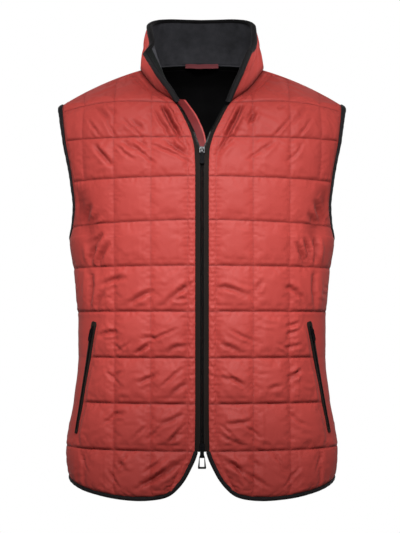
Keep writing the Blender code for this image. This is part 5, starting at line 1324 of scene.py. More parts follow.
def stitch_mesh(name, runs, mat, pitch, length, radius):
    """Many short threads in one mesh; runs are (points, normals) along which they lie."""
    V, F = [], []
    base = 0
    for pts, nrm in runs:
        pts, nrm = np.asarray(pts, float), np.asarray(nrm, float)
        if len(pts) < 2:
            continue
        s = arc_of(pts)
        count = int((s[-1] - length) / pitch)
        if count < 1:
            continue
        mid = (np.arange(count) + 0.5) * pitch + (s[-1] - count * pitch) / 2
        here = np.stack([np.interp(mid, s, pts[:, k]) for k in range(3)], -1)
        ahead = np.stack([np.interp(mid + length / 2, s, pts[:, k]) for k in range(3)], -1)
        behind = np.stack([np.interp(mid - length / 2, s, pts[:, k]) for k in range(3)], -1)
        n = unit(np.stack([np.interp(mid, s, nrm[:, k]) for k in range(3)], -1))
        t = unit(ahead - behind)
        b = unit(np.cross(t, n))
        for where, r, drop in ((behind, 0.45, -0.9), (here * 0.6 + behind * 0.4, 1.0, 0.15),
                               (here * 0.6 + ahead * 0.4, 1.0, 0.15), (ahead, 0.45, -0.9)):
            for ang in (90.0, 210.0, 330.0):
                c, d = math.cos(math.radians(ang)), math.sin(math.radians(ang))
                V.append(where + b * (c * radius * r) + n * (d * radius * r + drop * radius))
        block = len(here)
        # vertices are stored ring by ring: index = base + (ring * 3 + corner) * block + stitch
        idx = np.arange(block)
        for ring in range(3):
            for c in range(3):
                k = (c + 1) % 3
                F.append(np.stack([base + (ring * 3 + c) * block + idx, base + (ring * 3 + k) * block + idx,
                                   base + (ring * 3 + 3 + k) * block + idx, base + (ring * 3 + 3 + c) * block + idx], -1))
        F.append(np.stack([base + c * block + idx for c in (0, 2, 1)], -1))
        F.append(np.stack([base + (9 + c) * block + idx for c in (0, 1, 2)], -1))
        base += 12 * block
    verts = np.concatenate(V)
    faces = [tuple(int(i) for i in f) for part in F for f in part]
    ob = mesh_object(name, verts, faces, [mat], sharp=60)
    outward(ob)
    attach(ob, "vest")
    return ob


# ------------------------------------------------------------------ armhole and hem bindings
ARM = int(np.argmin(np.abs(coarse_r.r - ARMPIT_ROW)))
thread_runs = []
for side, tag, q in ((-1, "r", coarse_r), (1, "l", coarse_l)):
    bcol, bnext = (0, 1) if side < 0 else (-1, -2)
    up = range(ARM + 1, len(q.r))
    down = range(len(q.r) - 2, ARM, -1)
    pts = [q.P[i, -1] for i in up] + [coarse_b.P[i, bcol] for i in down] + [(q.P[ARM, -1] + coarse_b.P[ARM, bcol]) / 2]
    nrm = [q.N[i, -1] for i in up] + [coarse_b.N[i, bcol] for i in down] + [q.N[ARM, -1]]
    away = [q.P[i, -1] - q.P[i, -2] for i in up] + [coarse_b.P[i, bcol] - coarse_b.P[i, bnext] for i in down] \
        + [np.array([0.0, 0.0, 1.0])]
    ob, row, rn = binding(f"armhole_edge_{tag}", f"armhole_binding_{tag}", pts, nrm, away, BINDING_ARMHOLE_WIDTH + 0.0004,
                          True, 60 + side, passes=2)
    thread_runs.append((row, rn))

low_rows = [i for i, r in enumerate(FINE_R.r) if r <= 1.0 + 1e-9]
pts = [FINE_R.P[i, 0] for i in reversed(low_rows[1:])]
nrm = [FINE_R.N[i, 0] for i in reversed(low_rows[1:])]
away = [np.array([1.0, 0.0, -0.4])] * (len(low_rows) - 1)
pts += [p for p in coarse_r.P[0]]
nrm += [p for p in coarse_r.N[0]]
away += [np.array([0.3 if j == 0 else 0.0, 0.0, -1.0]) for j in range(coarse_r.P.shape[1])]
pts += [p for p in coarse_b.P[0][1:-1]]
nrm += [p for p in coarse_b.N[0][1:-1]]
away += [np.array([0.0, 0.0, -1.0])] * (coarse_b.P.shape[1] - 2)
pts += [p for p in coarse_l.P[0][::-1]]
nrm += [p for p in coarse_l.N[0][::-1]]
away += [np.array([0.0, 0.0, -1.0])] * (coarse_l.P.shape[1] - 1) + [np.array([-0.3, 0.0, -1.0])]
pts += [FINE_L.P[i, 0] for i in low_rows[1:]]
nrm += [FINE_L.N[i, 0] for i in low_rows[1:]]
away += [np.array([-1.0, 0.0, -0.4])] * (len(low_rows) - 1)
pts, nrm, away = (np.asarray(v, float) for v in (pts, nrm, away))
_s = arc_of(pts)
_even = np.linspace(0.0, _s[-1], int(_s[-1] / 0.0022))
pts, nrm, away = (np.stack([np.interp(_even, _s, v[:, k]) for k in range(3)], -1) for v in (pts, nrm, away))
# the binding runs round the front corners in one easy curve
pts, away = smooth_path(pts, 22, False), smooth_path(away, 22, False)
ob, row, rn = binding("hem_edge", "hem_binding", pts, nrm, away, BINDING_HEM_WIDTH - 0.0008, False, 71, above=0.0024, passes=6)
thread_runs.append((row, rn))


# ------------------------------------------------------------------ collar
def collar_seam():
    """Neck seam: point, normal, direction into the neck, place along the half collar, side."""
    P, N, D, A, Sd = [], [], [], [], []
    rr = np.linspace(9.0, 10.0, 29)[:-1]
    for side in (-1, 1):
        pt = lambda u, r, s=side: front_point(u, r, s)
        p = front_point(0.0, rr, side)
        n = normals("front", pt, np.zeros(len(rr)), rr, 0.0, 1.0)
        d = p - front_point(0.06, rr, side)
        along = 1.0 - 0.45 * (rr - 9.0)
        if side < 0:
            first = (p, n, d, along, np.full(len(rr), side))
        else:
            last = tuple(v[::-1] for v in (p, n, d, along, np.full(len(rr), side)))
    uu = np.linspace(-0.45, 0.45, 57)
    p = back_point(uu, 10.0)
    n = normals("back", back_point, uu, np.full(len(uu), 10.0), -1.0, 1.0)
    d = p - back_point(uu, 9.67)
    s = np.where(uu < 0, -1, 1)
    for e in (0, -1):
        p[e, 1] -= SEAM_GAP / 2
        d[e] = np.array([-s[e], 0.0, 0.3])
    middle = (p, n, d, 0.55 * np.abs(uu) / 0.45, s)
    return [np.concatenate([first[k], middle[k], last[k]]) for k in range(5)]


CP, CN, CD, CA, CS = collar_seam()
COLLAR_ROWS = 26
_t = unit(np.gradient(CP, axis=0))
_n = smooth_path(CN, 14, False)
_n = unit(_n - _t * np.sum(_n * _t, -1, keepdims=True))
_h = np.cross(_t, _n)
_h = np.where((np.sum(_h * CD, -1) < 0)[:, None], -_h, _h)
_h = unit(smooth_path(_h, 10, False))
_side = CS < 0
_top = np.stack([np.where(_side, column(COLLAR_TOP, CA, 1), column(COLLAR_TOP, CA, 2)) * CS,
                 np.where(_side, column(COLLAR_TOP, CA, 3), column(COLLAR_TOP, CA, 4)),
                 np.where(_side, column(COLLAR_TOP, CA, 5), column(COLLAR_TOP, CA, 6))], -1)
_foot = CP + _h * COLLAR_FOOT_GAP - _n * WALL
_sole = CP + _h * COLLAR_FOOT_GAP + _n * 0.0022
_up = unit(_n + 0.35 * unit(_top - _sole))
_len = np.linalg.norm(_top - _sole, axis=-1, keepdims=True)
_grid = [_foot, _sole]
COLLAR_Q = np.linspace(0, 1, COLLAR_ROWS)[1:]
for q in COLLAR_Q:
    a = _sole + (_top - _sole) * q
    b = _sole + _up * _len * q
    w = (1 - q) ** 2 * 0.12
    _grid.append(a * (1 - w) + b * w)
FACE = np.array(_grid)
_along = np.gradient(FACE, axis=1)
_rise = np.gradient(FACE, axis=0)
INWARD = unit(np.cross(_along, _rise))
_centre = np.stack([np.zeros(FACE.shape[:2]), np.full(FACE.shape[:2], -0.005), FACE[..., 2]], -1)
INWARD *= np.sign(np.sum(INWARD * (_centre - FACE)))
for _ in range(46):
    calm = INWARD.copy()
    calm[:, 1:-1] = (INWARD[:, :-2] + 2 * INWARD[:, 1:-1] + INWARD[:, 2:]) / 4
    calm[:, 0] = (INWARD[:, 0] + INWARD[:, 1]) / 2
    calm[:, -1] = (INWARD[:, -1] + INWARD[:, -2]) / 2
    INWARD = unit(calm)
COLLAR_S = arc_of(FACE[1])
# both front ends roll outwards, so that the knit shows from the front; the wearer's right end rolls furthest
_edge_d = np.minimum(COLLAR_S, COLLAR_S[-1] - COLLAR_S)
_rollout = np.clip(1 - _edge_d / 0.024, 0, 1) ** 1.7 * np.where(np.arange(len(COLLAR_S)) < len(COLLAR_S) / 2, 0.0030, 0.0022)
_height = np.concatenate([[0.0, 0.0], COLLAR_Q])
_height = np.clip(_height / 0.55, 0, 1) ** 1.2
FACE = FACE - INWARD * (_rollout[None, :] * _height[:, None])[..., None]
_turned = unit(np.cross(np.gradient(FACE, axis=1), np.gradient(FACE, axis=0)))
_turned *= np.sign(np.sum(_turned * INWARD))
for _ in range(10):
    _turned[:, 1:-1] = unit((_turned[:, :-2] + 2 * _turned[:, 1:-1] + _turned[:, 2:]) / 4)
INWARD = unit(INWARD + _turned * 1.5)


def wall_piece(name, outer, inner, mats, sharp=45):
    """Closed wall between two equal grids; mats are for the outer skin, the inner skin and the cut edges."""
    rows, cols = outer.shape[:2]
    verts = np.concatenate([outer.reshape(-1, 3), inner.reshape(-1, 3)])
    base = rows * cols
    f0 = [tuple(f) for f in grid_faces(rows, cols)]
    f1 = [tuple(f) for f in grid_faces(rows, cols, base, flip=True)]
    lo, li = loop_of(rows, cols), loop_of(rows, cols, base)
    f2 = rim(lo, li, flip=True)
    used = []
    for m in mats:
        if m not in used:
            used.append(m)
    idx = [used.index(mats[0])] * len(f0) + [used.index(mats[1])] * len(f1) + [used.index(mats[2])] * len(f2)
    ob = mesh_object(name, verts, f0 + f1 + f2, used, idx, sharp=0)
    outward(ob)
    sharp_rim(ob, set(lo) | set(li))
    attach(ob, "vest")
    return ob


_q = np.concatenate([[0.0, 0.0], COLLAR_Q])[:, None]
_s = COLLAR_S[None, :] * np.ones_like(_q)
_ends = np.clip(np.minimum(_s, COLLAR_S[-1] - _s) / 0.008, 0, 1)
# the outer collar is lightly padded: one line of stitching at half height, gathers at its foot and top
_cell = np.abs(np.sin(2 * math.pi * np.clip(_q, 0, 1))) ** 0.6 * _ends
_gather = np.exp(-((_q - 0.5) / 0.10) ** 2) * np.cos(2 * math.pi * _s / 0.0068 + 2 * waves(_s, 5, (0.05, 0.031))) * 0.00035 \
    + np.exp(-((_q - 0.04) / 0.12) ** 2) * np.cos(2 * math.pi * _s / 0.011 + 3 * waves(_s, 6, (0.07, 0.043))) * 0.0006
_roll = 0.0009 * waves(_s + 0.02 * _q, 8, (0.071, 0.043, 0.029)) * np.sin(math.pi * _q) ** 0.7
_swell = (0.0017 * _cell * (0.35 + 0.65 * np.clip(_q / 0.6, 0, 1)) + (_gather + _roll) * _ends) * np.clip(_q / 0.04, 0, 1)
_swell[:2] = 0
outer_skin = FACE - INWARD * _swell[..., None]
COLLAR_OUT = wall_piece("collar_shell", outer_skin, FACE + INWARD * COLLAR_OUTER_WALL, [RED, LINING, LINING])
# painted shade at the collar's foot and along its stitched line at half height, carried in the attribute seam
_foot_shade = np.clip(np.exp(-(_q / 0.10) ** 2) * (0.92 + 0.08 * np.cos(_s * 300)) + 0.35 * np.exp(-((_q - 0.5) / 0.02) ** 2), 0, 1)
_mark = COLLAR_OUT.data.attributes.new("seam", "FLOAT", "POINT")
_mark.data.foreach_set("value", np.concatenate([_foot_shade.reshape(-1), np.zeros(_foot_shade.size)]).astype(np.float32))
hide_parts("collar_outer")
_soft = 0.0008 * waves(_s - 0.03 * _q, 12, (0.060, 0.037, 0.023)) * np.sin(math.pi * np.clip(_q, 0, 1)) ** 0.6 * _ends
_foldy = np.exp(-((_q - 0.10) / 0.12) ** 2) * 0.0009 * waves(_s, 13, (0.031, 0.019, 0.013)) * _ends * (_q > 0)
_in0 = FACE + INWARD * (COLLAR_OUTER_WALL + SEAM_GAP)
_in1 = _in0 + INWARD * (COLLAR_LINING_WALL + np.maximum(-0.0006, _soft + _foldy))[..., None]
COLLAR_IN = wall_piece("collar_knit", _in0, _in1, [LINING, KNIT, FACING])
# a smoother facing runs up both front ends
_rows, _cols = FACE.shape[:2]
_strip = (_edge_d < 0.0125)
for _k, _poly in enumerate(COLLAR_IN.data.polygons):
    if _poly.material_index == 1 and _strip[(_k - (_rows - 1) * (_cols - 1)) % (_cols - 1)]:
        _poly.material_index = 2
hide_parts("collar_lining")
_w, _l = round(float(np.max(np.linalg.norm(np.diff(FACE[:, len(COLLAR_S) // 2], axis=0), axis=1).sum())), 3), \
    round(float(path_length(FACE[-1])), 3)
declare_sheet(COLLAR_OUT, _w, _l, area=round(min(grid_area(FACE), 0.98 * _w * _l), 4))
declare_sheet(COLLAR_IN, _w, _l, area=round(min(grid_area(FACE), 0.98 * _w * _l), 4))

# binding up one front end, along the top and down the other
_mid = COLLAR_OUTER_WALL + SEAM_GAP + COLLAR_LINING_WALL
_li, _lk = FACE.shape[0] - 1, FACE.shape[1] - 1
path = [(i, 0) for i in range(1, _li + 1)] + [(_li, k) for k in range(1, _lk)] + [(i, _lk) for i in range(_li, 0, -1)]
rings, crest, crest_n, off = [], [], [], []
for i, k in path:
    p, n = FACE[i, k], INWARD[i, k]
    ways = []
    if k in (0, _lk):
        inner_k = 4 if k == 0 else _lk - 4
        t = FACE[min(i + 1, _li), k] - FACE[i - 1, k]
        a = unit(np.cross(t, n))
        ways.append(a if np.dot(a, p - FACE[i, inner_k]) > 0 else -a)
    if i == _li:
        t = FACE[i, min(k + 1, _lk)] - FACE[i, max(k - 1, 0)]
        a = unit(np.cross(t, n))
        ways.append(a if np.dot(a, p - FACE[i - 1, k]) > 0 else -a)
    a = ways[0] if len(ways) == 1 else (ways[0] + ways[1]) / (1.0 + np.dot(ways[0], ways[1]))
    off.append(a)
off = np.array(off)
corner = {_li - 1, _li - 1 + _lk}
calm = smooth_path(off, 5, False)
off = np.where(np.array([any(abs(q - c) <= 1 for c in corner) for q in range(len(off))])[:, None], off, calm)
for (i, k), a in zip(path, off):
    p, n = FACE[i, k], INWARD[i, k]
    g, w = 0.0005, COLLAR_BINDING_WIDTH
    over = 0.0012
    ring = []
    for x, y in ((g, -0.0009), (-over, -0.0009), (-over, -0.0016), (0.0006, -0.0020), (w * 0.55, -0.0018), (w * 0.92, -0.0006),
                 (w * 1.04, _mid / 2), (w * 0.92, _mid + 0.0005), (w * 0.55, _mid + 0.0016), (0.0006, _mid + 0.0018),
                 (-over, _mid + 0.0014), (-over, _mid + 0.0008), (g, _mid + 0.0008)):
        ring.append(p + a * x + n * y)
    rings.append(ring)
    crest.append(p + a * 0.0004 + n * (_mid + 0.0019))
    crest_n.append(n)
COLLAR_EDGE = sweep("collar_edge", rings, BINDING, sharp=60)
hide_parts("collar_binding")
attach(COLLAR_EDGE, "vest")
declare_sheet(COLLAR_EDGE, 0.0165, round(path_length(crest), 3))
thread_runs.append((np.array(crest), np.array(crest_n)))
EDGE_THREAD = stitch_mesh("binding_stitches", thread_runs, THREAD_BLACK, 0.0030, 0.0022, 0.00026)

# ------------------------------------------------------------------ inside the neck
uu = np.linspace(-0.45, 0.45, 61)
rr = np.linspace(7.67, 10.0, 40)
U2, R2 = np.meshgrid(uu, rr)
LP = back_point(U2, R2)
LN = normals("back", back_point, U2, R2, -1.0, 1.0)
hide = LP - LN * (WALL + LINING_GAP)
hide[-1] = hide[-2] + (hide[-1] - hide[-2]) * 0.6
folds = 0.0011 * waves(LP[..., 0] + 0.25 * LP[..., 2], 41, (0.047, 0.029, 0.019)) * np.clip((R2 - 7.7) / 0.5, 0, 1) \
    * np.clip((9.97 - R2) / 0.25, 0, 1) * np.clip((0.44 - np.abs(U2)) / 0.06, 0, 1)
NECK_LINING = wall_piece("neck_lining", hide + LN * np.minimum(folds, 0.0007)[..., None] * 0.0,
                         hide - LN * (0.0011 + np.maximum(folds, -0.0006))[..., None], [LINING, LINING, LINING])
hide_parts("back_lining")
declare_sheet(NECK_LINING, 0.205, 0.185, area=round(min(grid_area(hide), 0.98 * 0.205 * 0.185), 4))

# ------------------------------------------------------------------ hanger loop
lo_box, hi_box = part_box("hanger_loop")
LOOP_HALF, LOOP_HEIGHT, LOOP_WALL, LOOP_BOW = 0.0260, 0.0065, 0.0013, 0.0075
loop_z = float(lo_box[2]) + 0.0010
loop_y = float(hi_box[1]) + 0.0026
xs = np.linspace(-1, 1, 49)
lx = LOOP_HALF * xs
ly = -LOOP_BOW * (1 - np.abs(xs) ** 2.6) - 0.0052 * xs * xs
ly = ly - ly.max() + float(hi_box[1]) - 0.0001
lt = unit(np.stack([np.gradient(lx), np.gradient(ly)], -1))
ln = np.stack([lt[:, 1], -lt[:, 0]], -1)
rings = []
for i in range(len(xs)):
    sag = -0.0010 * (1 - xs[i] ** 2) + 0.0002 * math.sin(7 * xs[i])
    p = np.array([lx[i], ly[i], loop_z + sag])
    n = np.array([ln[i, 0], ln[i, 1], 0.0])
    up = np.array([0.0, 0.0, 1.0])
    ring = []
    for x, y in ((0.0000, 0.0), (0.0004, -0.0003), (0.0010, -0.0003), (0.0013, 0.0006), (0.0011, 0.0011), (0.0011, 0.0052),
                 (0.0013, 0.0058), (0.0010, 0.0067), (0.0004, 0.0067), (0.0, 0.0062), (0.0002, 0.0052), (0.0002, 0.0012)):
        ring.append(p + n * x + up * y)
    rings.append(ring)
HANGER = sweep("hanger_loop_strap", rings, LOOP, sharp=60)
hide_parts("hanger_loop")
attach(HANGER, "vest")
declare_sheet(HANGER, 0.0100, 0.056)


# ------------------------------------------------------------------ front zip
def edge_at(z, side):
    """Point, normal and direction into the panel at the front edge, by height."""
    rr = np.linspace(0.6, 9.0, 400)
    zz = column(FRONT_EDGE, rr, 4)
    z = np.asarray(z, float)
    r = np.interp(z, zz, rr)
    pt = lambda u, q: front_point(u, q, side)
    p = pt(np.zeros(len(r)), r)
    n = normals("front", pt, np.zeros(len(r)), r, 0.0, 1.0)
    d = unit(pt(np.full(len(r), 0.02), r) - p)
    return p, n, d


def tape_path(zs, side):
    p, n, d = edge_at(zs, side)
    plain = unit(np.stack([np.zeros(len(zs)), n[:, 1], np.zeros(len(zs))], -1))
    mixw = np.clip((zs + 0.175) / 0.030, 0, 1)[:, None]
    n = unit(plain * (1 - mixw) + n * mixw)
    under = p - n * (WALL + TAPE_GAP)
    into = unit(d - n * np.sum(d * n, -1, keepdims=True))
    reach = np.interp(zs, [k[0] for k in COIL_PATH], [k[1 if side < 0 else 2] for k in COIL_PATH])
    edge = under - into * reach[:, None]
    least = np.where((zs < -0.5812) | (zs > ZIP_TOP_Z + 0.003), 0.0011, SEAM_GAP / 2)
    snap = (zs < ZIP_TOP_Z + 0.001) | (np.abs(edge[:, 0]) < least)
    edge[:, 0] = np.where(snap, side * least, edge[:, 0])
    return p, n, into, under, edge


TAPE_Z = np.unique(np.concatenate([np.linspace(-0.5838, -0.5780, 6), np.linspace(-0.5780, ZIP_TOP_Z - 0.006, 150),
                                   np.linspace(ZIP_TOP_Z - 0.006, -0.0612, 60)]))
zip_runs, coil_runs = [], {}
for side, tag in ((-1, "r"), (1, "l")):
    p, n, into, under, edge = tape_path(TAPE_Z, side)
    toward = unit(under - edge)
    hid = under + into * TAPE_UNDER
    bead = edge + toward * COIL_HALF
    rings = []
    for i in range(len(TAPE_Z)):
        w = -n[i] * TAPE_WALL
        rings.append([hid[i], hid[i] * 0.5 + bead[i] * 0.5 + n[i] * 0.0000, bead[i] + toward[i] * 0.0016 + n[i] * 0.00002,
                      bead[i] + toward[i] * 0.0008 + n[i] * 0.00042, bead[i] + n[i] * 0.00010, edge[i] + toward[i] * 0.0004,
                      edge[i] + toward[i] * 0.0004 + w, bead[i] + w, hid[i] + w])
    ob = sweep(f"zip_band_{tag}", rings, TAPE, sharp=60)
    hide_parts(f"zip_tape_{tag}")
    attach(ob, "vest")
    declare_sheet(ob, 0.0155, round(path_length(bead), 3))
    zip_runs.append((bead + toward * 0.0008 + n * 0.00048, n))
    coil_runs[side] = (edge, toward, n)
ZIP_THREAD = stitch_mesh("zip_stitches", zip_runs, THREAD_BLACK, 0.0026, 0.0019, 0.00022)

TOOTH = [
    # from the coil edge   half length   bottom    top
    (-0.00050, 0.00016, 0.00030, 0.00078),
    (-0.00015, 0.00036, 0.00012, 0.00108),
    (0.00060, 0.00040, 0.00005, 0.00128),
    (0.00160, 0.00036, 0.00002, 0.00130),
    (0.00240, 0.00033, 0.00002, 0.00105),
    (0.00280, 0.00022, 0.00004, 0.00045),
]


def teeth(name, edge, toward, n, pitch, shift, mat, closed_below, scale=1.0, height=0.0):
    """A row of coil turns along an edge, as one mesh; they reach past the edge where the zip is closed."""
    s = arc_of(edge)
    count = int(s[-1] / pitch)
    mid = (np.arange(count) + 0.5 + shift) * pitch
    mid = mid[mid < s[-1] - pitch * 0.4]
    at = lambda v, m: np.stack([np.interp(m, s, v[:, k]) for k in range(3)], -1)
    c, a, u = at(edge, mid), unit(at(toward, mid)), unit(at(n, mid))
    t = unit(np.cross(u, a))
    tilt = 0.16
    V, F = [], []
    block = len(mid)
    for x, half, low, high in TOOTH:
        half, low, high, x = half * scale, low * scale + height, high * scale + height, x * scale
        for dl, dh in ((-1.0, 0.0), (-0.75, 0.9), (0.0, 1.0), (0.75, 0.9), (1.0, 0.0)):
            V.append(c + a * x + t * (dl * half + tilt * x) + u * (low + (high - low) * dh))
    idx = np.arange(block)
    for q in range(len(TOOTH) - 1):
        for k in range(5):
            j = (k + 1) % 5
            F.append(np.stack([(q * 5 + k) * block + idx, (q * 5 + j) * block + idx,
                               (q * 5 + 5 + j) * block + idx, (q * 5 + 5 + k) * block + idx], -1))
    last = (len(TOOTH) - 1) * 5
    F.append(np.stack([k * block + idx for k in (4, 3, 2, 1, 0)], -1))
    F.append(np.stack([(last + k) * block + idx for k in range(5)], -1))
    faces = [tuple(int(i) for i in f) for part in F for f in part]
    ob = mesh_object(name, np.concatenate(V), faces, [mat], sharp=50)
    outward(ob)
    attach(ob, "vest")
    return ob


for side, tag in ((-1, "r"), (1, "l")):
    e, a, u = coil_runs[side]
    ob = teeth(f"zip_coil_{tag}", e + a * 0.00012, a, u, 0.00165, 0.0 if side < 0 else 0.5, COIL, None)
    # painted glint: the open turns just above the slider get a lighter, shinier material
    ob.data.materials.append(COIL_GLINT)
    for _poly in ob.data.polygons:
        if -0.1330 < _poly.center.z < -0.1060:
            _poly.material_index = 1

# ------------------------------------------------------------------ wind flap
fz = np.linspace(-0.560, -0.0605, 150)
p, n, d = edge_at(fz, -1)
p = p.copy()
p[:, 2] = fz
plain = unit(np.stack([n[:, 0], n[:, 1], np.zeros(len(fz))], -1))
mixw = np.clip((fz + 0.155) / 0.030, 0, 1)[:, None]
n = unit(plain * (1 - mixw) + n * mixw)
into = unit(d - n * np.sum(d * n, -1, keepdims=True))
reach, back_off, sewn = (column(FLAP_REACH, fz, k)[:, None] for k in (1, 2, 3))
root = p - n * (WALL + 0.0026) + into * sewn
tip = p - n * (WALL + back_off) - into * reach
midp = p - n * (WALL + 0.5 * (0.0026 + back_off) + 0.0008) - into * (reach * 0.3)
extra = 10
last = [v[-1] + unit(v[-1] - v[-4])[None, :] * (FLAP_RISE * np.arange(1, extra + 1)[:, None] / extra) for v in (root, midp, tip)]
root, midp, tip = (np.concatenate([v, e]) for v, e in zip((root, midp, tip), last))
n = np.concatenate([n, np.repeat(n[-1:], extra, 0)])
s = arc_of(tip)
cols = np.concatenate([np.linspace(0, 0.88, 11), np.array([0.905, 0.93, 0.955, 0.98, 1.0])])
ctrl = 2 * midp - (root + tip) / 2
face = []
for q in cols:
    base = (1 - q) ** 2 * root + 2 * q * (1 - q) * ctrl + q * q * tip
    w = 0.0009 * waves(s + 0.01 * q, 31, (0.083, 0.047, 0.029)) * q * np.clip(s / 0.05, 0, 1)
    stitch = -0.00032 * math.exp(-((q - 0.86) / 0.022) ** 2) - 0.00035 * math.exp(-((q - 1.0) / 0.03) ** 2)
    ribs = 0.00016 * np.cos(2 * math.pi * s / 0.0062) * math.exp(-((q - 0.90) / 0.07) ** 2)
    face.append(base + n * (np.minimum(w, 0.0004) + stitch + ribs)[:, None])
face = np.array(face).transpose(1, 0, 2)
rear = face - n[:, None, :] * 0.0016
# the flap's faces take the darker copy of the red as painted shade
FLAP = wall_piece("wind_flap_cloth", face, rear, [RED_FLAP_SHADED, RED_FLAP_SHADED, RED_LIT_EDGE])
# painted highlight: the turned-in outer edge gets a lighter copy of the red, standing in for the light it catches
FLAP.data.materials.append(RED_LIT_EDGE)
for _k in range((face.shape[0] - 1) * (face.shape[1] - 1)):
    if _k % (face.shape[1] - 1) >= len(cols) - 4:
        FLAP.data.polygons[_k].material_index = 2
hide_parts("wind_flap")
declare_sheet(FLAP, 0.032, round(path_length(tip), 3))


# ------------------------------------------------------------------ pocket zips
def on_front(side, x, z):
    """Column and row of the front's reference surface at half-widths x and heights z."""
    u, r = np.full(len(x), 0.7), np.full(len(x), 3.0)
    for _ in range(80):
        p = front_point(u, r, side)
        ex, ez = np.abs(x) - np.abs(p[:, 0]), z - p[:, 2]
        e = 1e-4
        pu, pr = front_point(u + e, r, side), front_point(u, r + e, side)
        a, b = (np.abs(pu[:, 0]) - np.abs(p[:, 0])) / e, (np.abs(pr[:, 0]) - np.abs(p[:, 0])) / e
        c, d = (pu[:, 2] - p[:, 2]) / e, (pr[:, 2] - p[:, 2]) / e
        det = a * d - b * c
        u = np.clip(u + 0.7 * (d * ex - b * ez) / det, 0.0, 0.985)
        r = np.clip(r + 0.7 * (a * ez - c * ex) / det, 0.1, 9.0)
    return u, r


pocket_thread = []
for side, tag in ((-1, "r"), (1, "l")):
    (x0, z0), (x1, z1) = POCKET[tag]["top"], POCKET[tag]["low"]
    t = np.linspace(0, 1, 61)
    u, r = on_front(side, x0 + (x1 - x0) * t, z0 + (z1 - z0) * t)
    pt = lambda a, b, s=side: front_point(a, b, s)
    p = pt(u, r)
    n = normals("front", pt, u, r, 0.0, 1.0)
    along = unit(np.gradient(p, axis=0))
    across = unit(np.cross(along, n))
    across = np.where((across[:, 0] * side < 0)[:, None], -across, across)
    w = (POCKET_WIDTH_TOP * (1 - t) + POCKET_WIDTH_LOW * t) / 2
    base = p + n * (POCKET_LIFT + 0.0009)
    rings = []
    for i in range(len(t)):
        close = math.sqrt(max(0.0, 1 - max(0.0, (0.03 - min(t[i], 1 - t[i])) / 0.03) ** 2))
        ww = w[i] * (0.6 + 0.4 * close) * 1.16
        g = 0.0019
        ring = []
        for x, y in ((-ww, -0.0012), (-ww, 0.0006), (-ww * 0.9, 0.0011), (-(ww + g) / 2, 0.0014), (-g, 0.0012), (-g * 0.95, 0.0004),
                     (g * 0.95, 0.0004), (g, 0.0012), ((ww + g) / 2, 0.0014), (ww * 0.9, 0.0011), (ww, 0.0006), (ww, -0.0012)):
            lift = 0.00012 * math.sin(2 * math.pi * t[i] * 27 + side) * (abs(x) > g) * (y > 0.0005)
            ring.append(base[i] + across[i] * x + n[i] * (y + lift))
        rings.append(ring)
    ob = sweep(f"pocket_welt_{tag}", rings, TAPE, sharp=60)
    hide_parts(f"pocket_zip_{tag}")
    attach(ob, "vest")
    declare_sheet(ob, 0.0115, round(path_length(p), 3))
    inside = slice(2, -2)
    for sgn, shift in ((-1, 0.0), (1, 0.5)):
        c = teeth(f"pocket_coil_{tag}_{'a' if sgn < 0 else 'b'}", (base + across * sgn * 0.00015)[inside], across[inside] * sgn,
                  n[inside], 0.0015, shift, COIL, None, scale=0.62, height=0.0008)
    q = skin_lift = STITCH_LIFT
    for off in (-1, 1):
        run = p + across * (off * (w + 0.0022))[:, None] + n * (STITCH_LIFT + 0.00012)
        pocket_thread.append((run, n))
POCKET_THREAD = stitch_mesh("pocket_stitches", pocket_thread, THREAD_RED, 0.0030, 0.0022, 0.00026)

# ------------------------------------------------------------------ quilting stitches
for q, tag, skin in ((FINE_R, "front_r", SKIN_R), (FINE_L, "front_l", SKIN_L), (FINE_B, "back", SKIN_B)):
    runs = []
    pr = 3 if tag != "back" else 2
    for row in range(1, 10):
        i = row * STEPS * pr
        ok = q.free()[i] > 0.5
        line = skin[i] + q.N[i] * 0.00012
        first = np.nonzero(ok)[0]
        if len(first):
            runs.append((line[first[0]:first[-1] + 1], q.N[i][first[0]:first[-1] + 1]))
    for at, strength in q.knots:
        at = np.asarray(at)
        strength = np.broadcast_to(strength, at.shape)
        cols = np.argmin(np.abs(q.S - at[:, None]), axis=1)
        keep = (strength > 0.3) & (np.abs(q.S[np.arange(len(cols)), cols] - at) < 1e-5)
        start = None
        for i in range(len(cols) + 1):
            if i < len(cols) and keep[i]:
                if start is None:
                    start = i
            elif start is not None:
                ii = np.arange(start, i)
                runs.append((skin[ii, cols[ii]] + q.N[ii, cols[ii]] * 0.00012, q.N[ii, cols[ii]]))
                start = None
    ob = stitch_mesh(f"quilt_stitches_{tag}", runs, THREAD_RED, 0.0034, 0.0024, 0.00024)

# ------------------------------------------------------------------ CAD nodes still shown
for _name, _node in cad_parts.items():
    if _node.hide_render:
        continue
    # the top slider takes the lighter nickel as a painted glint
    mat = METAL_GLINT if _name == "zip_slider_top" else METAL if ("slider" in _name or "pull" in _name) else (
        KNIT if "lining" in _name else RED if _name == "collar_outer" else BINDING if "binding" in _name else TAPE)
    _node.data.materials.clear()
    _node.data.materials.append(mat)

# ------------------------------------------------------------------ floor, light and camera
def staged_floor():
    s = 4.0
    me = bpy.data.meshes.new("floor")
    me.from_pydata([(-s, -3.2, -1.2), (s, -3.2, -1.2), (s, 3.2, -1.2), (-s, 3.2, -1.2)], [], [(0, 1, 2, 3)])
    ob = bpy.data.objects.new("floor", me)
    SCENE.collection.objects.link(ob)
    m, nt, b = node_material("pale_floor", 0.9, specular=0.2)
    co = nt.nodes.new("ShaderNodeTexCoord").outputs["Object"]
    link(nt, ramp(nt, noise(nt, co, 1.5), [(0.3, (0.80, 0.80, 0.80)), (0.7, (0.84, 0.84, 0.84))]), b.inputs["Base Color"])
    me.materials.append(m)


staged_floor()


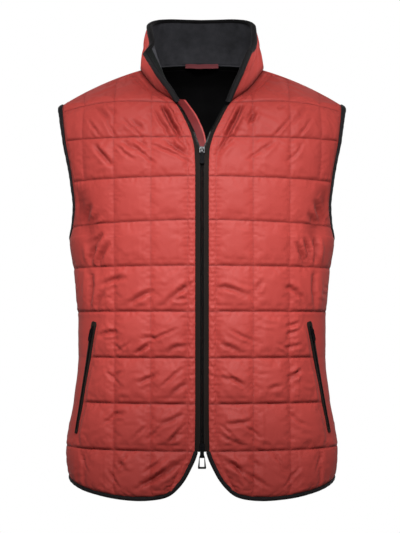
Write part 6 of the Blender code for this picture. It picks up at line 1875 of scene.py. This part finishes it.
def area(name, place, target, size, power, spread=None, size_y=None):
    d = bpy.data.lights.new(name, "AREA")
    d.energy = power
    d.size = size
    if spread:
        d.spread = math.radians(spread)
    if size_y:
        d.shape = "RECTANGLE"
        d.size_y = size_y
    ob = bpy.data.objects.new(name, d)
    ob.location = place
    ob.rotation_euler = (Vector(target) - Vector(place)).to_track_quat("-Z", "Y").to_euler()
    SCENE.collection.objects.link(ob)
    return ob


area("key", (0.0, -1.5, 0.64), (0.0, -0.12, -0.275), 1.6, 3.30, spread=28.6, size_y=0.40)
area("collar_r", (-2.4, -0.9, -0.50), (-0.088, -0.03, 0.055), 0.12, 0.060, spread=5.0)
area("collar_l", (2.4, -0.9, -0.50), (0.088, -0.03, 0.055), 0.12, 0.060, spread=5.0)
area("side_r", (-2.4, -1.1, 0.10), (0.0, 0.0, -0.12), 1.0, 0.088, spread=35.0)
area("side_l", (2.4, -1.1, 0.10), (0.0, 0.0, -0.12), 1.0, 0.088, spread=35.0)
area("back_light", (0.0, 2.4, 0.55), (0.0, 0.1, -0.3), 1.6, 9.0)

world = bpy.data.worlds.new("studio")
SCENE.world = world
world.use_nodes = True
wn = world.node_tree
wn.nodes.clear()
out = wn.nodes.new("ShaderNodeOutputWorld")
mix = wn.nodes.new("ShaderNodeMixShader")
path = wn.nodes.new("ShaderNodeLightPath")
soft = wn.nodes.new("ShaderNodeBackground")
soft.inputs["Color"].default_value = (1.0, 1.0, 1.0, 1.0)
soft.inputs["Strength"].default_value = 0.15
white = wn.nodes.new("ShaderNodeBackground")
white.inputs["Color"].default_value = (1.0, 1.0, 1.0, 1.0)
white.inputs["Strength"].default_value = 1.0
wn.links.new(path.outputs["Is Camera Ray"], mix.inputs["Fac"])
wn.links.new(soft.outputs["Background"], mix.inputs[1])
wn.links.new(white.outputs["Background"], mix.inputs[2])
wn.links.new(mix.outputs["Shader"], out.inputs["Surface"])
SCENE.view_settings.view_transform = "Standard"
SCENE.view_settings.look = "None"
SCENE.view_settings.exposure = 0.0
SCENE.view_settings.gamma = 1.0

cam_data = bpy.data.cameras.new("camera")
cam_data.lens = 108.0
cam_data.sensor_width = 36.0
cam = bpy.data.objects.new("camera", cam_data)
cam.location = (-0.003, -2.5, -0.389)
cam.rotation_euler = (math.radians(90.0 + 1.915), 0.0, 0.0)
SCENE.collection.objects.link(cam)
SCENE.camera = cam

bpy.context.view_layer.update()
